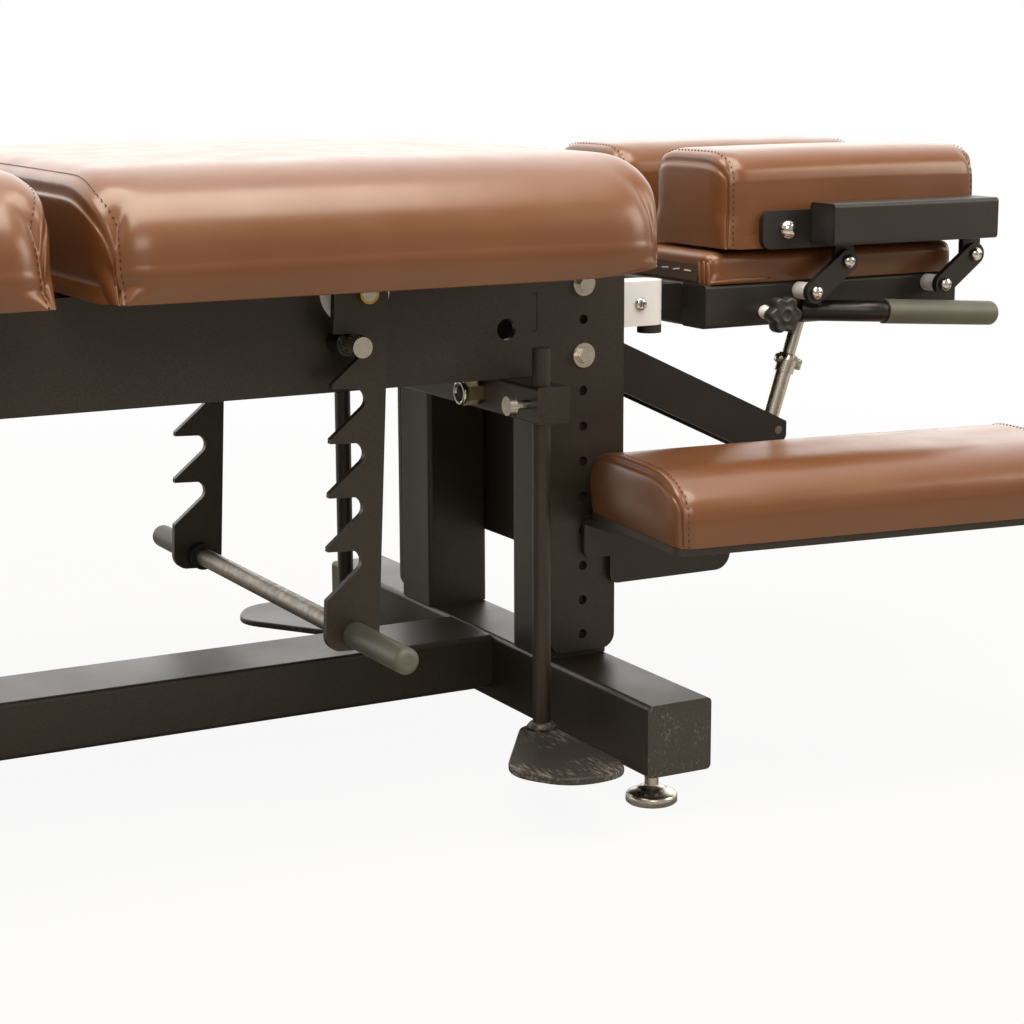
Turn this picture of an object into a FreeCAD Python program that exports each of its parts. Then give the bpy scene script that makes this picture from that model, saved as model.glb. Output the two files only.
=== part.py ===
import FreeCAD, Part
import math
import os
import re

import Sketcher
from FreeCAD import Placement, Rotation, Vector

# Chiropractic table: two welded H legs joined by a floor rail, side plates bolted to the
# legs through rows of holes, fixed pelvic and leg cushions, a body section that hinges up
# on ratchet plates, foot pedals, a lifting head section on a telescopic strut, and two
# swivelling armrests.
# Axes: +X towards the head end, +Y across, +Z up. The origin is on the floor, at the
# middle of the table's length and width.
# Lengths are in millimetres and angles in degrees.

document = FreeCAD.newDocument("chiropractic_table")

sizes = {
    # Whole table
    "table_length": 1830,
    "head_overhang": 441,
    "foot_overhang": 269,
    "deck_height": 458,
    "running_gap": 0.3,
    "pin_clearance": 0.05,
    "cut_overrun": 2,
    # Floor frame of 2.5 inch square tube
    "tube_side": 63.5,
    "tube_wall": 3.2,
    "tube_corner": 4.5,
    "base_width": 642,
    "floor_clearance": 37,
    "post_set_back": 2.5,
    "post_spread": 148,
    "post_top": 445,
    "floor_rail_width": 88.9,
    "floor_rail_height": 50.8,
    "floor_rail_lift": 12.5,
    # Side plates
    "plate_thickness": 6.35,
    "leg_plate_width": 66.5,
    "leg_plate_bottom": 106.3,
    "leg_corner": 13,
    "beam_bottom": 360.5,
    "beam_top": 452,
    "hole_pitch": 31.75,
    "hole_diameter": 8.6,
    "first_hole_height": 122,
    "hole_count": 11,
    "lower_bolt_hole_count": 8,
    "upper_bolt_hole_count": 10,
    "cable_hole_set_back": 77.3,
    "cable_hole_height": 403.4,
    "cable_hole_diameter": 18.5,
    # Frame bolts
    "bolt_diameter": 7.9,
    "bolt_head_circle": 14.7,
    "bolt_head_height": 5.6,
    "washer_diameter": 22,
    "washer_thickness": 1.6,
    # Cross plate between the head posts, and cross ties under the fixed deck
    "end_plate_thickness": 12.7,
    "end_plate_bottom": 172,
    "end_bolt_height": 274,
    "tie_side": 38.1,
    "tie_wall": 3,
    "front_tie_set_back": 560,
    "middle_tie_set_back": 880,
    # Levelling feet
    "foot_spread": 277,
    "foot_diameter": 45,
    "foot_disc_height": 8,
    "foot_neck_height": 5,
    "foot_neck_diameter": 24,
    "foot_stem_diameter": 12.7,
    "foot_stem_reach": 22,
    "foot_nut_circle": 22,
    "foot_nut_height": 8,
    # Fixed cushions and their boards
    "board_thickness": 12.7,
    "board_inset": 8,
    "cushion_width": 600,
    "cushion_height": 100,
    "cushion_corner": 45,
    "cushion_roll": 26,
    "cushion_end_roll": 10,
    "pelvic_start": 512,
    "pelvic_length": 392,
    "cushion_gap": 8,
    # Body section
    "hinge_set_back": 470,
    "body_start": 488,
    "body_end": 6,
    "body_nose": 60,
    "body_rail_side": 25.4,
    "body_rail_wall": 2.5,
    "body_rail_spread": 137.4,
    "body_rail_front": 60,
    "hinge_tail": 14,
    "hinge_pin_diameter": 12.7,
    # Ratchet plates and their pivots
    "ratchet_set_back": 224,
    "ratchet_lean": 2.6,
    "ratchet_inner": 176.7,
    "ratchet_thickness": 6.35,
    "ratchet_top": 9,
    "ratchet_top_corner": 12,
    "ratchet_length": 301,
    "ratchet_back": 20.5,
    "tooth_reach": 28.7,
    "tooth_pitch": 45.5,
    "tooth_nose": 4,
    "first_tooth": 29.5,
    "notch_count": 5,
    "flank_angle": 42,
    "root_radius": 9.3,
    "ratchet_corner": 14,
    "pivot_diameter": 12.7,
    "pivot_shoulder_diameter": 22,
    "pivot_slot_width": 34,
    "pivot_slot_bottom": 430,
    "pivot_nut_diameter": 17,
    "pivot_nut_height": 7,
    "glide_diameter": 58.5,
    "glide_thickness": 12,
    "ratchet_bar_diameter": 17.5,
    "ratchet_bar_drop": 288,
    "ratchet_bar_offset": 2,
    "grip_diameter": 22.5,
    "grip_round": 6,
    "grip_wall": 3.5,
    "grip_end": 285,
    "collar_diameter": 26,
    "collar_length": 10,
    # Catch pins on the side plates
    "catch_offset": 11.9,
    "catch_diameter": 17.4,
    "catch_end": 205,
    "sleeve_diameter": 21,
    # Foot pedals
    "pedal_set_back": 71,
    "pedal_spread": 204.5,
    "pedal_rod_diameter": 15.9,
    "pedal_rod_top": 392.6,
    "pedal_top": 57.4,
    "pedal_thickness": 6.35,
    "pedal_inner": 190,
    "pedal_outer": 347,
    "pedal_heel": 60,
    "pedal_neck": 83,
    "pedal_toe": 159,
    "pedal_shoulder": 295,
    "pedal_side": 126,
    "pedal_corner": 28,
    "pedal_toe_corner": 12,
    "bar_set_back": 66,
    "bar_side": 31.75,
    "bar_wall": 2.5,
    "bar_corner": 3,
    "bar_half_length": 217,
    "bar_nut_spread": 110,
    "bar_nut_circle": 24,
    "bar_nut_length": 15,
    "bar_stud_length": 17,
    "bar_screw_spread": 200,
    "bar_screw_length": 13.7,
    "bar_screw_diameter": 7.9,
    "bar_screw_head": 16.6,
    "bar_screw_head_height": 7,
    # Head pivot
    "head_pivot_reach": 62,
    "head_pivot_height": 417,
    "head_pin_diameter": 12.7,
    "block_inner": 118,
    "block_outer": 150,
    "block_length": 48.5,
    "block_bottom": 397.5,
    "block_top": 437.5,
    "block_round": 15,
    "block_screw_diameter": 12,
    "block_screw_height": 3,
    "stub_diameter": 22,
    "stub_reach": 78,
    "stub_length": 7.5,
    "head_arm_thickness": 10,
    "head_arm_height": 24,
    "head_arm_outer": 109,
    # Head frame
    "head_frame_start": 131.5,
    "head_frame_end": 420,
    "head_tube_side": 40,
    "head_tube_corner": 4,
    "head_frame_bottom": 390,
    "head_frame_spread": 150,
    "platform_start": 135,
    "platform_height": 30,
    "platform_corner": 22,
    "platform_roll": 7,
    # Head lift links
    "link_pivot_reach": 235,
    "link_pivot_height": 421,
    "link_length": 45,
    "link_angle": 37,
    "link_width": 21,
    "link_thickness": 6,
    "link_inner": 171,
    "link_spacing": 150,
    "link_bolt_diameter": 7.9,
    "link_bolt_head": 13,
    "link_bolt_head_height": 5,
    "spacer_diameter": 16,
    # Tilt handle on the head frame
    "handle_diameter": 20,
    "handle_reach": 240,
    "handle_rise": 12,
    "handle_flare": 38,
    "handle_spread": 190,
    "handle_bend": 45,
    "handle_length": 140,
    "handle_slope": 4,
    "handle_grip_diameter": 23,
    "handle_grip_length": 132,
    "handle_grip_round": 6,
    # Head side bars and cushions
    "side_bar_start": 235,
    "side_bar_end": 425,
    "side_bar_inner": 165,
    "side_bar_side": 38,
    "side_bar_bottom": 465,
    "lug_start": 183,
    "lug_end": 285,
    "lug_height": 35,
    "lug_bottom": 461.3,
    "lug_corner": 9,
    "dome_bolt_reach": 209.7,
    "dome_bolt_diameter": 18,
    "dome_bolt_height": 8,
    "head_cushion_start": 146,
    "head_cushion_bottom": 462,
    "head_cushion_height": 90,
    "face_gap": 56,
    "head_cushion_corner": 22,
    "head_cushion_roll": 16,
    "head_cushion_end_roll": 6,
    # Head strut
    "strut_offset": 100,
    "strut_foot_reach": 237,
    "strut_pivot_drop": 12.2,
    "strut_angle": 18.3,
    "strut_tube_diameter": 15.9,
    "strut_rod_diameter": 12.7,
    "strut_tube_share": 0.5,
    "strut_tube_tail": 62,
    "strut_end_wall": 4,
    "strut_rod_start": 5,
    "strut_collar_diameter": 19.4,
    "strut_collar_height": 11,
    "strut_eye_diameter": 20,
    "strut_eye_thickness": 10,
    "strut_pin_diameter": 8,
    "strut_pin_clearance": 2.4,
    "arm_drop": 1,
    "arm_depth": 45,
    "arm_end": 246,
    "arm_slope": 25.3,
    "arm_width": 38,
    "arm_wall": 4,
    "arm_nose": 14,
    "arm_slot_back": 17,
    # Head lock knob
    "knob_reach": 195.5,
    "knob_rise": 13,
    "knob_outer": 188,
    "knob_diameter": 35,
    "knob_thickness": 15,
    "knob_lobes": 6,
    "knob_core_diameter": 26,
    "knob_lobe_diameter": 12,
    "knob_stem_diameter": 8,
    # Armrest
    "bracket_left": 2,
    "bracket_right": 155,
    "bracket_top": 231,
    "bracket_bottom": 167,
    "bracket_notch": 193,
    "bracket_step": 25,
    "bracket_corner": 8,
    "bracket_outer": 240,
    "bracket_thickness": 6.35,
    "armrest_pivot_reach": 25,
    "armrest_pivot_spread": 200,
    "armrest_pin_diameter": 12,
    "armrest_angle": 6.5,
    "armrest_back": 34,
    "armrest_inner": 162.5,
    "armrest_outer": 353,
    "armrest_length": 420,
    "armrest_board_thickness": 6.7,
    "armrest_board_inset": 5,
    "armrest_cushion_height": 60,
    "armrest_corner": 16,
    "armrest_roll": 24,
    "armrest_end_roll": 7,
}

sheet = document.addObject("Spreadsheet::Sheet", "Sizes")
for row, (alias, amount) in enumerate(sizes.items(), start=1):
    sheet.set(f"A{row}", alias)
    sheet.set(f"B{row}", str(amount))
    sheet.setAlias(f"B{row}", alias)
document.recompute()

# Derived places, written once in terms of the driving sizes
head_column = "(table_length / 2 - head_overhang)"
foot_column = "(foot_overhang - table_length / 2)"
head_post_centre = f"({head_column} - post_set_back)"
foot_post_centre = f"({foot_column} - post_set_back)"
cross_member_top = "(floor_clearance + tube_side)"
plate_outer = "(post_spread + plate_thickness)"
end_plate_front = f"({head_post_centre} + tube_side / 2 + end_plate_thickness)"
pivot_height = "(deck_height - body_rail_side / 2)"
glide_outer = f"({plate_outer} + running_gap + glide_thickness)"
ratchet_outer = "(ratchet_inner + ratchet_thickness)"
bar_left = f"({head_column} - bar_set_back - bar_side / 2)"
head_frame_inner = "(head_frame_spread - head_tube_side)"
link_outer = "(link_inner + link_thickness)"
arm_top = "(head_frame_bottom - arm_drop)"
strut_foot_height = (
    f"({arm_top} - ({head_column} + strut_foot_reach - {end_plate_front}) * tan(arm_slope)"
    f" - strut_pivot_drop)"
)
strut_top_height = "(head_frame_bottom + head_tube_side / 2)"
strut_length = f"(({strut_top_height} - {strut_foot_height}) / cos(strut_angle))"
strut_tube_length = f"({strut_length} * strut_tube_share)"

same_place = 1e-4
turn_towards = {
    "X": Rotation(Vector(0, 1, 0), 90),
    "Y": Rotation(Vector(1, 0, 0), -90),
    "Z": Rotation(),
}
sides = ("near", "far")
armrest_sides = ("near",)
sub_parts = {}


def bound(text):
    """Expression text with every size name pointed at its cell in the sheet."""
    return re.sub(
        r"[a-z][a-z_]*[a-z]",
        lambda word: f"Sizes.{word.group()}" if word.group() in sizes else word.group(),
        text,
    )


def size(alias):
    return float(getattr(sheet, alias))


def node(name, item):
    item.Label = name
    sub_parts[name] = item
    return item


def put(item, start, axis=None, angle=None):
    """Places an item at a bound point, turned about an axis by a bound angle if given."""
    if axis is not None:
        item.Placement = Placement(Vector(), Rotation(axis, 1))
        item.setExpression("Placement.Rotation.Angle", bound(angle))
    for direction, text in zip("xyz", start):
        item.setExpression(f"Placement.Base.{direction}", bound(text))
    return item


def across(side, inner, outer):
    """Lower Y of a piece that lies between two distances from the middle plane."""
    return f"-({outer})" if side == "near" else f"({inner})"


def outward(side, distance):
    return f"-({distance})" if side == "near" else f"({distance})"


def draw_polygon(sketch, points):
    first = sketch.GeometryCount
    count = len(points)
    spots = [
        Vector(math.cos(math.tau * index / count), math.sin(math.tau * index / count), 0)
        for index in range(count)
    ]
    for index in range(count):
        sketch.addGeometry(Part.LineSegment(spots[index], spots[(index + 1) % count]), False)
    joins = [
        Sketcher.Constraint("Coincident", first + index, 2, first + (index + 1) % count, 1)
        for index in range(count)
    ]
    sketch.addConstraint(joins)
    for index, point in enumerate(points):
        for kind, text, start in zip(("DistanceX", "DistanceY"), point, spots[index]):
            rule = Sketcher.Constraint(kind, -1, 1, first + index, 1, start)
            number = sketch.addConstraint(rule)
            sketch.setExpression(f"Constraints[{number}]", bound(text))


def draw_circle(sketch, centre, radius):
    ring = sketch.addGeometry(Part.Circle(Vector(1, 1, 0), Vector(0, 0, 1), 1), False)
    rules = (("DistanceX", centre[0]), ("DistanceY", centre[1]))
    for kind, text in rules:
        number = sketch.addConstraint(Sketcher.Constraint(kind, -1, 1, ring, 3, 1))
        sketch.setExpression(f"Constraints[{number}]", bound(text))
    number = sketch.addConstraint(Sketcher.Constraint("Radius", ring, 1))
    sketch.setExpression(f"Constraints[{number}]", bound(radius))


def corner_edges(sketch, feature, corners):
    """Names of the padded edges that stand on the given corners of an outline."""
    spots = [sketch.Placement.multVec(sketch.Geometry[corner].StartPoint) for corner in corners]
    direction = sketch.Placement.Rotation.multVec(Vector(0, 0, 1))
    found = []
    for index, edge in enumerate(feature.Shape.Edges, start=1):
        first = edge.Vertexes[0].Point
        run = edge.Vertexes[-1].Point - first
        if run.Length < same_place or run.cross(direction).Length > same_place:
            continue
        if any((first - spot).cross(direction).Length < same_place for spot in spots):
            found.append(f"Edge{index}")
    return found


def plate(label, plane, outline, depth, rounds=(), holes=(), windows=()):
    """Body padded from an outline on one of its own planes.

    On XY the pad rises along +Z, on XZ it runs along +Y and on YZ along +X. The outline
    and the windows in it are polygons, holes are circles, and rounds lists a radius with
    the corners of the outline that take it.
    """
    body = document.addObject("PartDesign::Body", label)
    sketch = body.newObject("Sketcher::SketchObject", f"{label}_outline")
    roots = {root.Role: root for root in body.Origin.OriginFeatures}
    sketch.AttachmentSupport = [(roots[f"{plane}_Plane"], "")]
    sketch.MapMode = "FlatFace"
    draw_polygon(sketch, outline)
    for window in windows:
        draw_polygon(sketch, window)
    for centre, radius in holes:
        draw_circle(sketch, centre, radius)
    pad = body.newObject("PartDesign::Pad", f"{label}_pad")
    pad.Profile = sketch
    pad.Reversed = plane == "XZ"
    pad.setExpression("Length", bound(depth))
    document.recompute()
    tip = pad
    for number, (radius, corners) in enumerate(rounds):
        fillet = body.newObject("PartDesign::Fillet", f"{label}_round_{number}")
        fillet.Base = (tip, corner_edges(sketch, tip, corners))
        fillet.setExpression("Radius", bound(radius))
        document.recompute()
        tip = fillet
    body.Tip = tip
    return body


def rectangle(low_x, low_y, high_x, high_y):
    return [(low_x, low_y), (high_x, low_y), (high_x, high_y), (low_x, high_y)]


def tube(label, along, wide, tall, wall, corner, length, start, holes=()):
    """Rectangular tube centred on its start point; wide and tall follow the axis order."""
    plane = {"X": "YZ", "Y": "XZ", "Z": "XY"}[along]
    outer = rectangle(f"-{wide} / 2", f"-{tall} / 2", f"{wide} / 2", f"{tall} / 2")
    bore = rectangle(
        f"{wall} - {wide} / 2",
        f"{wall} - {tall} / 2",
        f"{wide} / 2 - {wall}",
        f"{tall} / 2 - {wall}",
    )
    body = plate(label, plane, outer, length, [(corner, (0, 1, 2, 3))], holes, [bore])
    return put(body, start)


def cap(label, along, wide, tall, corner, start, thickness="tube_wall"):
    plane = {"X": "YZ", "Y": "XZ", "Z": "XY"}[along]
    outer = rectangle(f"-{wide} / 2", f"-{tall} / 2", f"{wide} / 2", f"{tall} / 2")
    return put(plate(label, plane, outer, thickness, [(corner, (0, 1, 2, 3))]), start)


def end_plug(label, outer_side, start):
    """Square plug, one wall thick, that closes the bore of a tube along X."""
    half = f"({outer_side} / 2 - tube_wall)"
    outline = rectangle(f"-{half}", f"-{half}", half, half)
    return put(plate(label, "YZ", outline, "tube_wall"), start)


def bar(label, radius, length, start, along):
    item = document.addObject("Part::Cylinder", label)
    item.setExpression("Radius", bound(radius))
    item.setExpression("Height", bound(length))
    item.Placement = Placement(Vector(), turn_towards[along])
    return put(item, start)


def hexagon(label, circle, length, start, along):
    item = document.addObject("Part::Prism", label)
    item.Polygon = 6
    item.setExpression("Circumradius", bound(f"{circle} / 2"))
    item.setExpression("Height", bound(length))
    item.Placement = Placement(Vector(), turn_towards[along])
    return put(item, start)


def rounded_rim(label, base, radius):
    """Rolls the rim of a crosswise bar that lies farthest from the middle plane."""
    document.recompute()
    rims = [
        (abs(edge.Curve.Center.y), number)
        for number, edge in enumerate(base.Shape.Edges, start=1)
        if isinstance(edge.Curve, Part.Circle)
    ]
    item = document.addObject("Part::Fillet", label)
    item.Base = base
    item.Edges = [(max(rims)[1], size(radius), size(radius))]
    return item


def cut(label, base, *tools):
    item = document.addObject("Part::Cut", label)
    item.Base = base
    if len(tools) == 1:
        item.Tool = tools[0]
    else:
        item.Tool = group(f"{label}_tools", tools)
    return item


def fuse(label, shapes):
    item = document.addObject("Part::MultiFuse", label)
    item.Shapes = list(shapes)
    return item


def group(label, items):
    item = document.addObject("Part::Compound", label)
    item.Links = list(items)
    return item


# Floor frame: a cross member under each leg pair, closed by end caps, and the rail between
def cross_member(label, centre):
    height = "(floor_clearance + tube_side / 2)"
    length = "(base_width - 2 * tube_wall)"
    plain = tube(
        f"{label}_tube", "Y", "tube_side", "tube_side", "tube_wall", "tube_corner", length,
        (centre, "tube_wall - base_width / 2", height),
    )
    bores = [
        bar(
            f"{label}_bore_{side}", "foot_stem_diameter / 2 + pin_clearance",
            "tube_wall + 2 * cut_overrun",
            (centre, outward(side, "foot_spread"), "floor_clearance - cut_overrun"), "Z",
        )
        for side in sides
    ]
    caps = [
        cap(f"{label}_cap_near", "Y", "tube_side", "tube_side", "tube_corner",
            (centre, "-base_width / 2", height)),
        cap(f"{label}_cap_far", "Y", "tube_side", "tube_side", "tube_corner",
            (centre, "base_width / 2 - tube_wall", height)),
    ]
    return group(label, [cut(f"{label}_bored", plain, *bores), *caps])


node("head_cross_member", cross_member("head_cross", head_post_centre))
node("foot_cross_member", cross_member("foot_cross", foot_post_centre))

base_rail = tube(
    "floor_rail", "X", "floor_rail_width", "floor_rail_height", "tube_wall", "tube_corner",
    f"{head_column} - {foot_column} - tube_side",
    (
        f"{foot_post_centre} + tube_side / 2",
        "0",
        "floor_clearance + floor_rail_lift + floor_rail_height / 2",
    ),
)
node("base_rail", base_rail)


# Posts: square tubes standing on the cross members, with holes for the frame bolts
def bolt_height(step):
    return f"(first_hole_height + {step} * hole_pitch)"


bolt_steps = {"lower": "lower_bolt_hole_count", "upper": "upper_bolt_hole_count"}


def posts(label, column, centre):
    items = []
    for side in sides:
        upright = tube(
            f"{label}_post_{side}", "Z", "tube_side", "tube_side", "tube_wall", "tube_corner",
            f"post_top - {cross_member_top}",
            (centre, outward(side, "post_spread - tube_side / 2"), cross_member_top),
        )
        drills = [
            bar(
                f"{label}_drill_{side}_{level}", "hole_diameter / 2",
                "tube_wall + 2 * cut_overrun",
                (
                    column,
                    across(side, "post_spread - tube_wall - cut_overrun",
                           "post_spread + cut_overrun"),
                    bolt_height(step),
                ),
                "Y",
            )
            for level, step in bolt_steps.items()
        ]
        items.append(cut(f"{label}_drilled_{side}", upright, *drills))
    return group(f"{label}_posts_pair", items)


node("head_posts", posts("head", head_column, head_post_centre))
node("foot_posts", posts("foot", foot_column, foot_post_centre))


# Side plates: one beam per side with a drilled leg plate hanging at each end
def side_plate(side):
    half_leg = "leg_plate_width / 2"
    slot_centre = f"({head_column} - ratchet_set_back)"
    outline = [
        (f"{foot_column} - {half_leg}", "leg_plate_bottom"),
        (f"{foot_column} + {half_leg}", "leg_plate_bottom"),
        (f"{foot_column} + {half_leg}", "beam_bottom"),
        (f"{head_column} - {half_leg}", "beam_bottom"),
        (f"{head_column} - {half_leg}", "leg_plate_bottom"),
        (f"{head_column} + {half_leg}", "leg_plate_bottom"),
        (f"{head_column} + {half_leg}", "beam_top"),
        (f"{slot_centre} + pivot_slot_width / 2", "beam_top"),
        (f"{slot_centre} + pivot_slot_width / 2", "pivot_slot_bottom"),
        (f"{slot_centre} - pivot_slot_width / 2", "pivot_slot_bottom"),
        (f"{slot_centre} - pivot_slot_width / 2", "beam_top"),
        (f"{foot_column} - {half_leg}", "beam_top"),
    ]
    holes = [
        ((column, bolt_height(str(step))), "hole_diameter / 2")
        for column in (head_column, foot_column)
        for step in range(int(size("hole_count")))
    ]
    cable_hole = (f"{head_column} - cable_hole_set_back", "cable_hole_height")
    holes.append((cable_hole, "cable_hole_diameter / 2"))
    holes.append((catch_place, "catch_diameter / 2 + pin_clearance"))
    body = plate(
        f"side_{side}", "XZ", outline, "plate_thickness",
        [("leg_corner", (0, 1, 4, 5))], holes,
    )
    return put(body, ("0", across(side, "post_spread", plate_outer), "0"))


# The catch pin sits just under the lip of the ratchet plate's top notch
catch_drop = "(first_tooth + tooth_nose + catch_diameter / 2 + running_gap)"
catch_place = (
    f"({head_column} - ratchet_set_back - catch_offset * cos(ratchet_lean)"
    f" - {catch_drop} * sin(ratchet_lean))",
    f"({pivot_height} + catch_offset * sin(ratchet_lean)"
    f" - {catch_drop} * cos(ratchet_lean))",
)
node("side_plate_near", side_plate("near"))
node("side_plate_far", side_plate("far"))


# Frame bolts: hex bolts and washers through the side plates, and through the end plate
def frame_bolt(label, side, column, height):
    reach = "post_spread - tube_wall"
    washer = bar(
        f"{label}_washer", "washer_diameter / 2", "washer_thickness",
        (column, across(side, plate_outer, f"{plate_outer} + washer_thickness"), height), "Y",
    )
    head = hexagon(
        f"{label}_head", "bolt_head_circle", "bolt_head_height",
        (
            column,
            across(side, f"{plate_outer} + washer_thickness",
                   f"{plate_outer} + washer_thickness + bolt_head_height"),
            height,
        ),
        "Y",
    )
    shank = bar(
        f"{label}_shank", "bolt_diameter / 2", f"{plate_outer} - ({reach})",
        (column, across(side, reach, plate_outer), height), "Y",
    )
    return fuse(label, [washer, head, shank])


bolts = [
    frame_bolt(f"bolt_{end}_{side}_{level}", side, column, bolt_height(step))
    for end, column in (("head", head_column), ("foot", foot_column))
    for side in sides
    for level, step in bolt_steps.items()
]
bolts += [
    fuse(f"end_bolt_{side}", [
        bar(f"end_bolt_{side}_washer", "washer_diameter / 2", "washer_thickness",
            (end_plate_front, outward(side, "post_spread - tube_side / 2"),
             "end_bolt_height"), "X"),
        hexagon(f"end_bolt_{side}_head", "bolt_head_circle", "bolt_head_height",
                (f"{end_plate_front} + washer_thickness",
                 outward(side, "post_spread - tube_side / 2"), "end_bolt_height"), "X"),
    ])
    for side in sides
]
node("frame_bolts", group("frame_bolt_set", bolts))

# Plate across the head ends of the head posts, which carries the head section. Its edges
# reach past the leg plates, level with their outer faces.
end_plate = plate(
    "end_plate_middle", "YZ",
    rectangle("-post_spread", "end_plate_bottom", "post_spread", "beam_top"),
    "end_plate_thickness", [("leg_corner", (0, 1))],
)
put(end_plate, (f"{end_plate_front} - end_plate_thickness", "0", "0"))
end_plate_edges = []
for side in sides:
    edge_outline = rectangle(
        f"{head_column} + leg_plate_width / 2", across(side, "post_spread", plate_outer),
        end_plate_front, "-post_spread" if side == "near" else plate_outer,
    )
    end_plate_edges.append(put(
        plate(f"end_plate_edge_{side}", "XY", edge_outline, "beam_top - end_plate_bottom"),
        ("0", "0", "end_plate_bottom"),
    ))
node("head_end_plate", fuse("end_plate", [end_plate, *end_plate_edges]))


# Cross ties under the pelvic and leg boards: two between the side plates and one between
# the foot posts
def cross_tie(label, centre, reach):
    return tube(
        label, "Y", "tie_side", "tie_side", "tie_wall", "bar_corner", f"2 * {reach}",
        (centre, f"-{reach}", "deck_height - tie_side / 2"),
    )


ties = [
    cross_tie("front_tie", f"{head_column} - front_tie_set_back", "post_spread"),
    cross_tie("middle_tie", f"{head_column} - middle_tie_set_back", "post_spread"),
    cross_tie("foot_tie", foot_post_centre, "(post_spread - tube_side)"),
]
node("frame_cross_ties", group("tie_set", ties))

# Catch pins and the black sleeves that space them from the side plates
sleeves = []
pins = []
for side in sides:
    sleeve = bar(
        f"sleeve_{side}", "sleeve_diameter / 2",
        f"ratchet_inner - running_gap - {plate_outer}",
        (catch_place[0], across(side, plate_outer, "ratchet_inner - running_gap"),
         catch_place[1]),
        "Y",
    )
    bore = bar(
        f"sleeve_bore_{side}", "catch_diameter / 2 + pin_clearance",
        f"ratchet_inner - {plate_outer} + 2 * cut_overrun",
        (
            catch_place[0],
            across(side, f"{plate_outer} - cut_overrun", "ratchet_inner + cut_overrun"),
            catch_place[1],
        ),
        "Y",
    )
    sleeves.append(cut(f"bored_sleeve_{side}", sleeve, bore))
    pins.append(bar(
        f"catch_pin_{side}", "catch_diameter / 2", "catch_end - post_spread",
        (catch_place[0], across(side, "post_spread", "catch_end"), catch_place[1]), "Y",
    ))
node("catch_sleeves", group("sleeve_pair", sleeves))
node("catch_pins", group("catch_pin_pair", pins))

# Levelling feet: disc, neck and threaded stem in one, locked by a nut under the tube
lock_nuts = []
for end, centre in (("head", head_post_centre), ("foot", foot_post_centre)):
    for side in sides:
        label = f"levelling_foot_{end}_{side}"
        middle = outward(side, "foot_spread")
        disc = bar(f"{label}_disc", "foot_diameter / 2", "foot_disc_height",
                   (centre, middle, "0"), "Z")
        neck = document.addObject("Part::Cone", f"{label}_neck")
        neck.setExpression("Radius1", bound("foot_neck_diameter / 2"))
        neck.setExpression("Radius2", bound("foot_stem_diameter / 2"))
        neck.setExpression("Height", bound("foot_neck_height"))
        put(neck, (centre, middle, "foot_disc_height"))
        stem = bar(f"{label}_stem", "foot_stem_diameter / 2",
                   "floor_clearance + foot_stem_reach", (centre, middle, "0"), "Z")
        node(label, fuse(f"{label}_solid", [disc, neck, stem]))
        nut = hexagon(f"lock_nut_{end}_{side}", "foot_nut_circle", "foot_nut_height",
                      (centre, middle, "floor_clearance - foot_nut_height"), "Z")
        thread = bar(
            f"lock_nut_thread_{end}_{side}", "foot_stem_diameter / 2 + pin_clearance",
            "foot_nut_height + 2 * cut_overrun",
            (centre, middle, "floor_clearance - foot_nut_height - cut_overrun"), "Z",
        )
        lock_nuts.append(cut(f"threaded_nut_{end}_{side}", nut, thread))
node("foot_lock_nuts", group("lock_nut_set", lock_nuts))


# Cushions: lofts through rounded rectangles that draw in at the foot, swell at the sides
# and roll over to a crown. Each row gives a share of the height, and shares of the rolls
# and of the nose by which the outline is drawn in there. The ends have a roll of their own.
cushion_level_shares = (
    (0.0, 0.22, 1.0),
    (0.05, 0.1, 0.55),
    (0.14, 0.04, 0.24),
    (0.3, 0.0, 0.05),
    (0.55, 0.03, 0.0),
    (0.76, 0.22, 0.0),
    (0.9, 0.65, 0.0),
    (0.97, 1.25, 0.0),
    (1.0, 2.4, 0.0),
)
quarter_share = 1 - math.sqrt(0.5)
corner_limit_share = 0.45


def rounded_outline(low, high, corner, height):
    """Wire of four lines and four quarter arcs between two corners of a rectangle."""
    room = min(high.x - low.x, high.y - low.y)
    corner = min(corner, corner_limit_share * room)
    edges = []
    shape = [
        (low.x, low.y, 0, 1, 1, 0),
        (high.x, low.y, -1, 0, 0, 1),
        (high.x, high.y, 0, -1, -1, 0),
        (low.x, high.y, 1, 0, 0, -1),
    ]
    arcs = []
    for x, y, from_x, from_y, to_x, to_y in shape:
        start = Vector(x + corner * from_x, y + corner * from_y, height)
        finish = Vector(x + corner * to_x, y + corner * to_y, height)
        middle = Vector(
            x + corner * quarter_share * (from_x + to_x),
            y + corner * quarter_share * (from_y + to_y),
            height,
        )
        arcs.append((start, middle, finish))
    for number, (start, middle, finish) in enumerate(arcs):
        edges.append(Part.Arc(start, middle, finish).toShape())
        following = arcs[(number + 1) % len(arcs)][0]
        edges.append(Part.LineSegment(finish, following).toShape())
    return Part.Wire(edges)


def cushion_shape(low, high, corner, roll, end_roll, nose=0):
    wires = []
    for height_share, roll_share, nose_share in cushion_level_shares:
        inset = roll * roll_share
        end_inset = end_roll * roll_share
        level_low = Vector(low.x + end_inset, low.y + inset, 0)
        level_high = Vector(high.x - max(end_inset, nose * nose_share), high.y - inset, 0)
        height = low.z + (high.z - low.z) * height_share
        wires.append(rounded_outline(level_low, level_high, corner, height))
    return Part.makeLoft(wires, True, False)


def cushion(label, shape, base=Vector(), turn=Rotation()):
    item = document.addObject("Part::Feature", label)
    item.Shape = shape
    item.Placement = Placement(base, turn)
    return item


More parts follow.
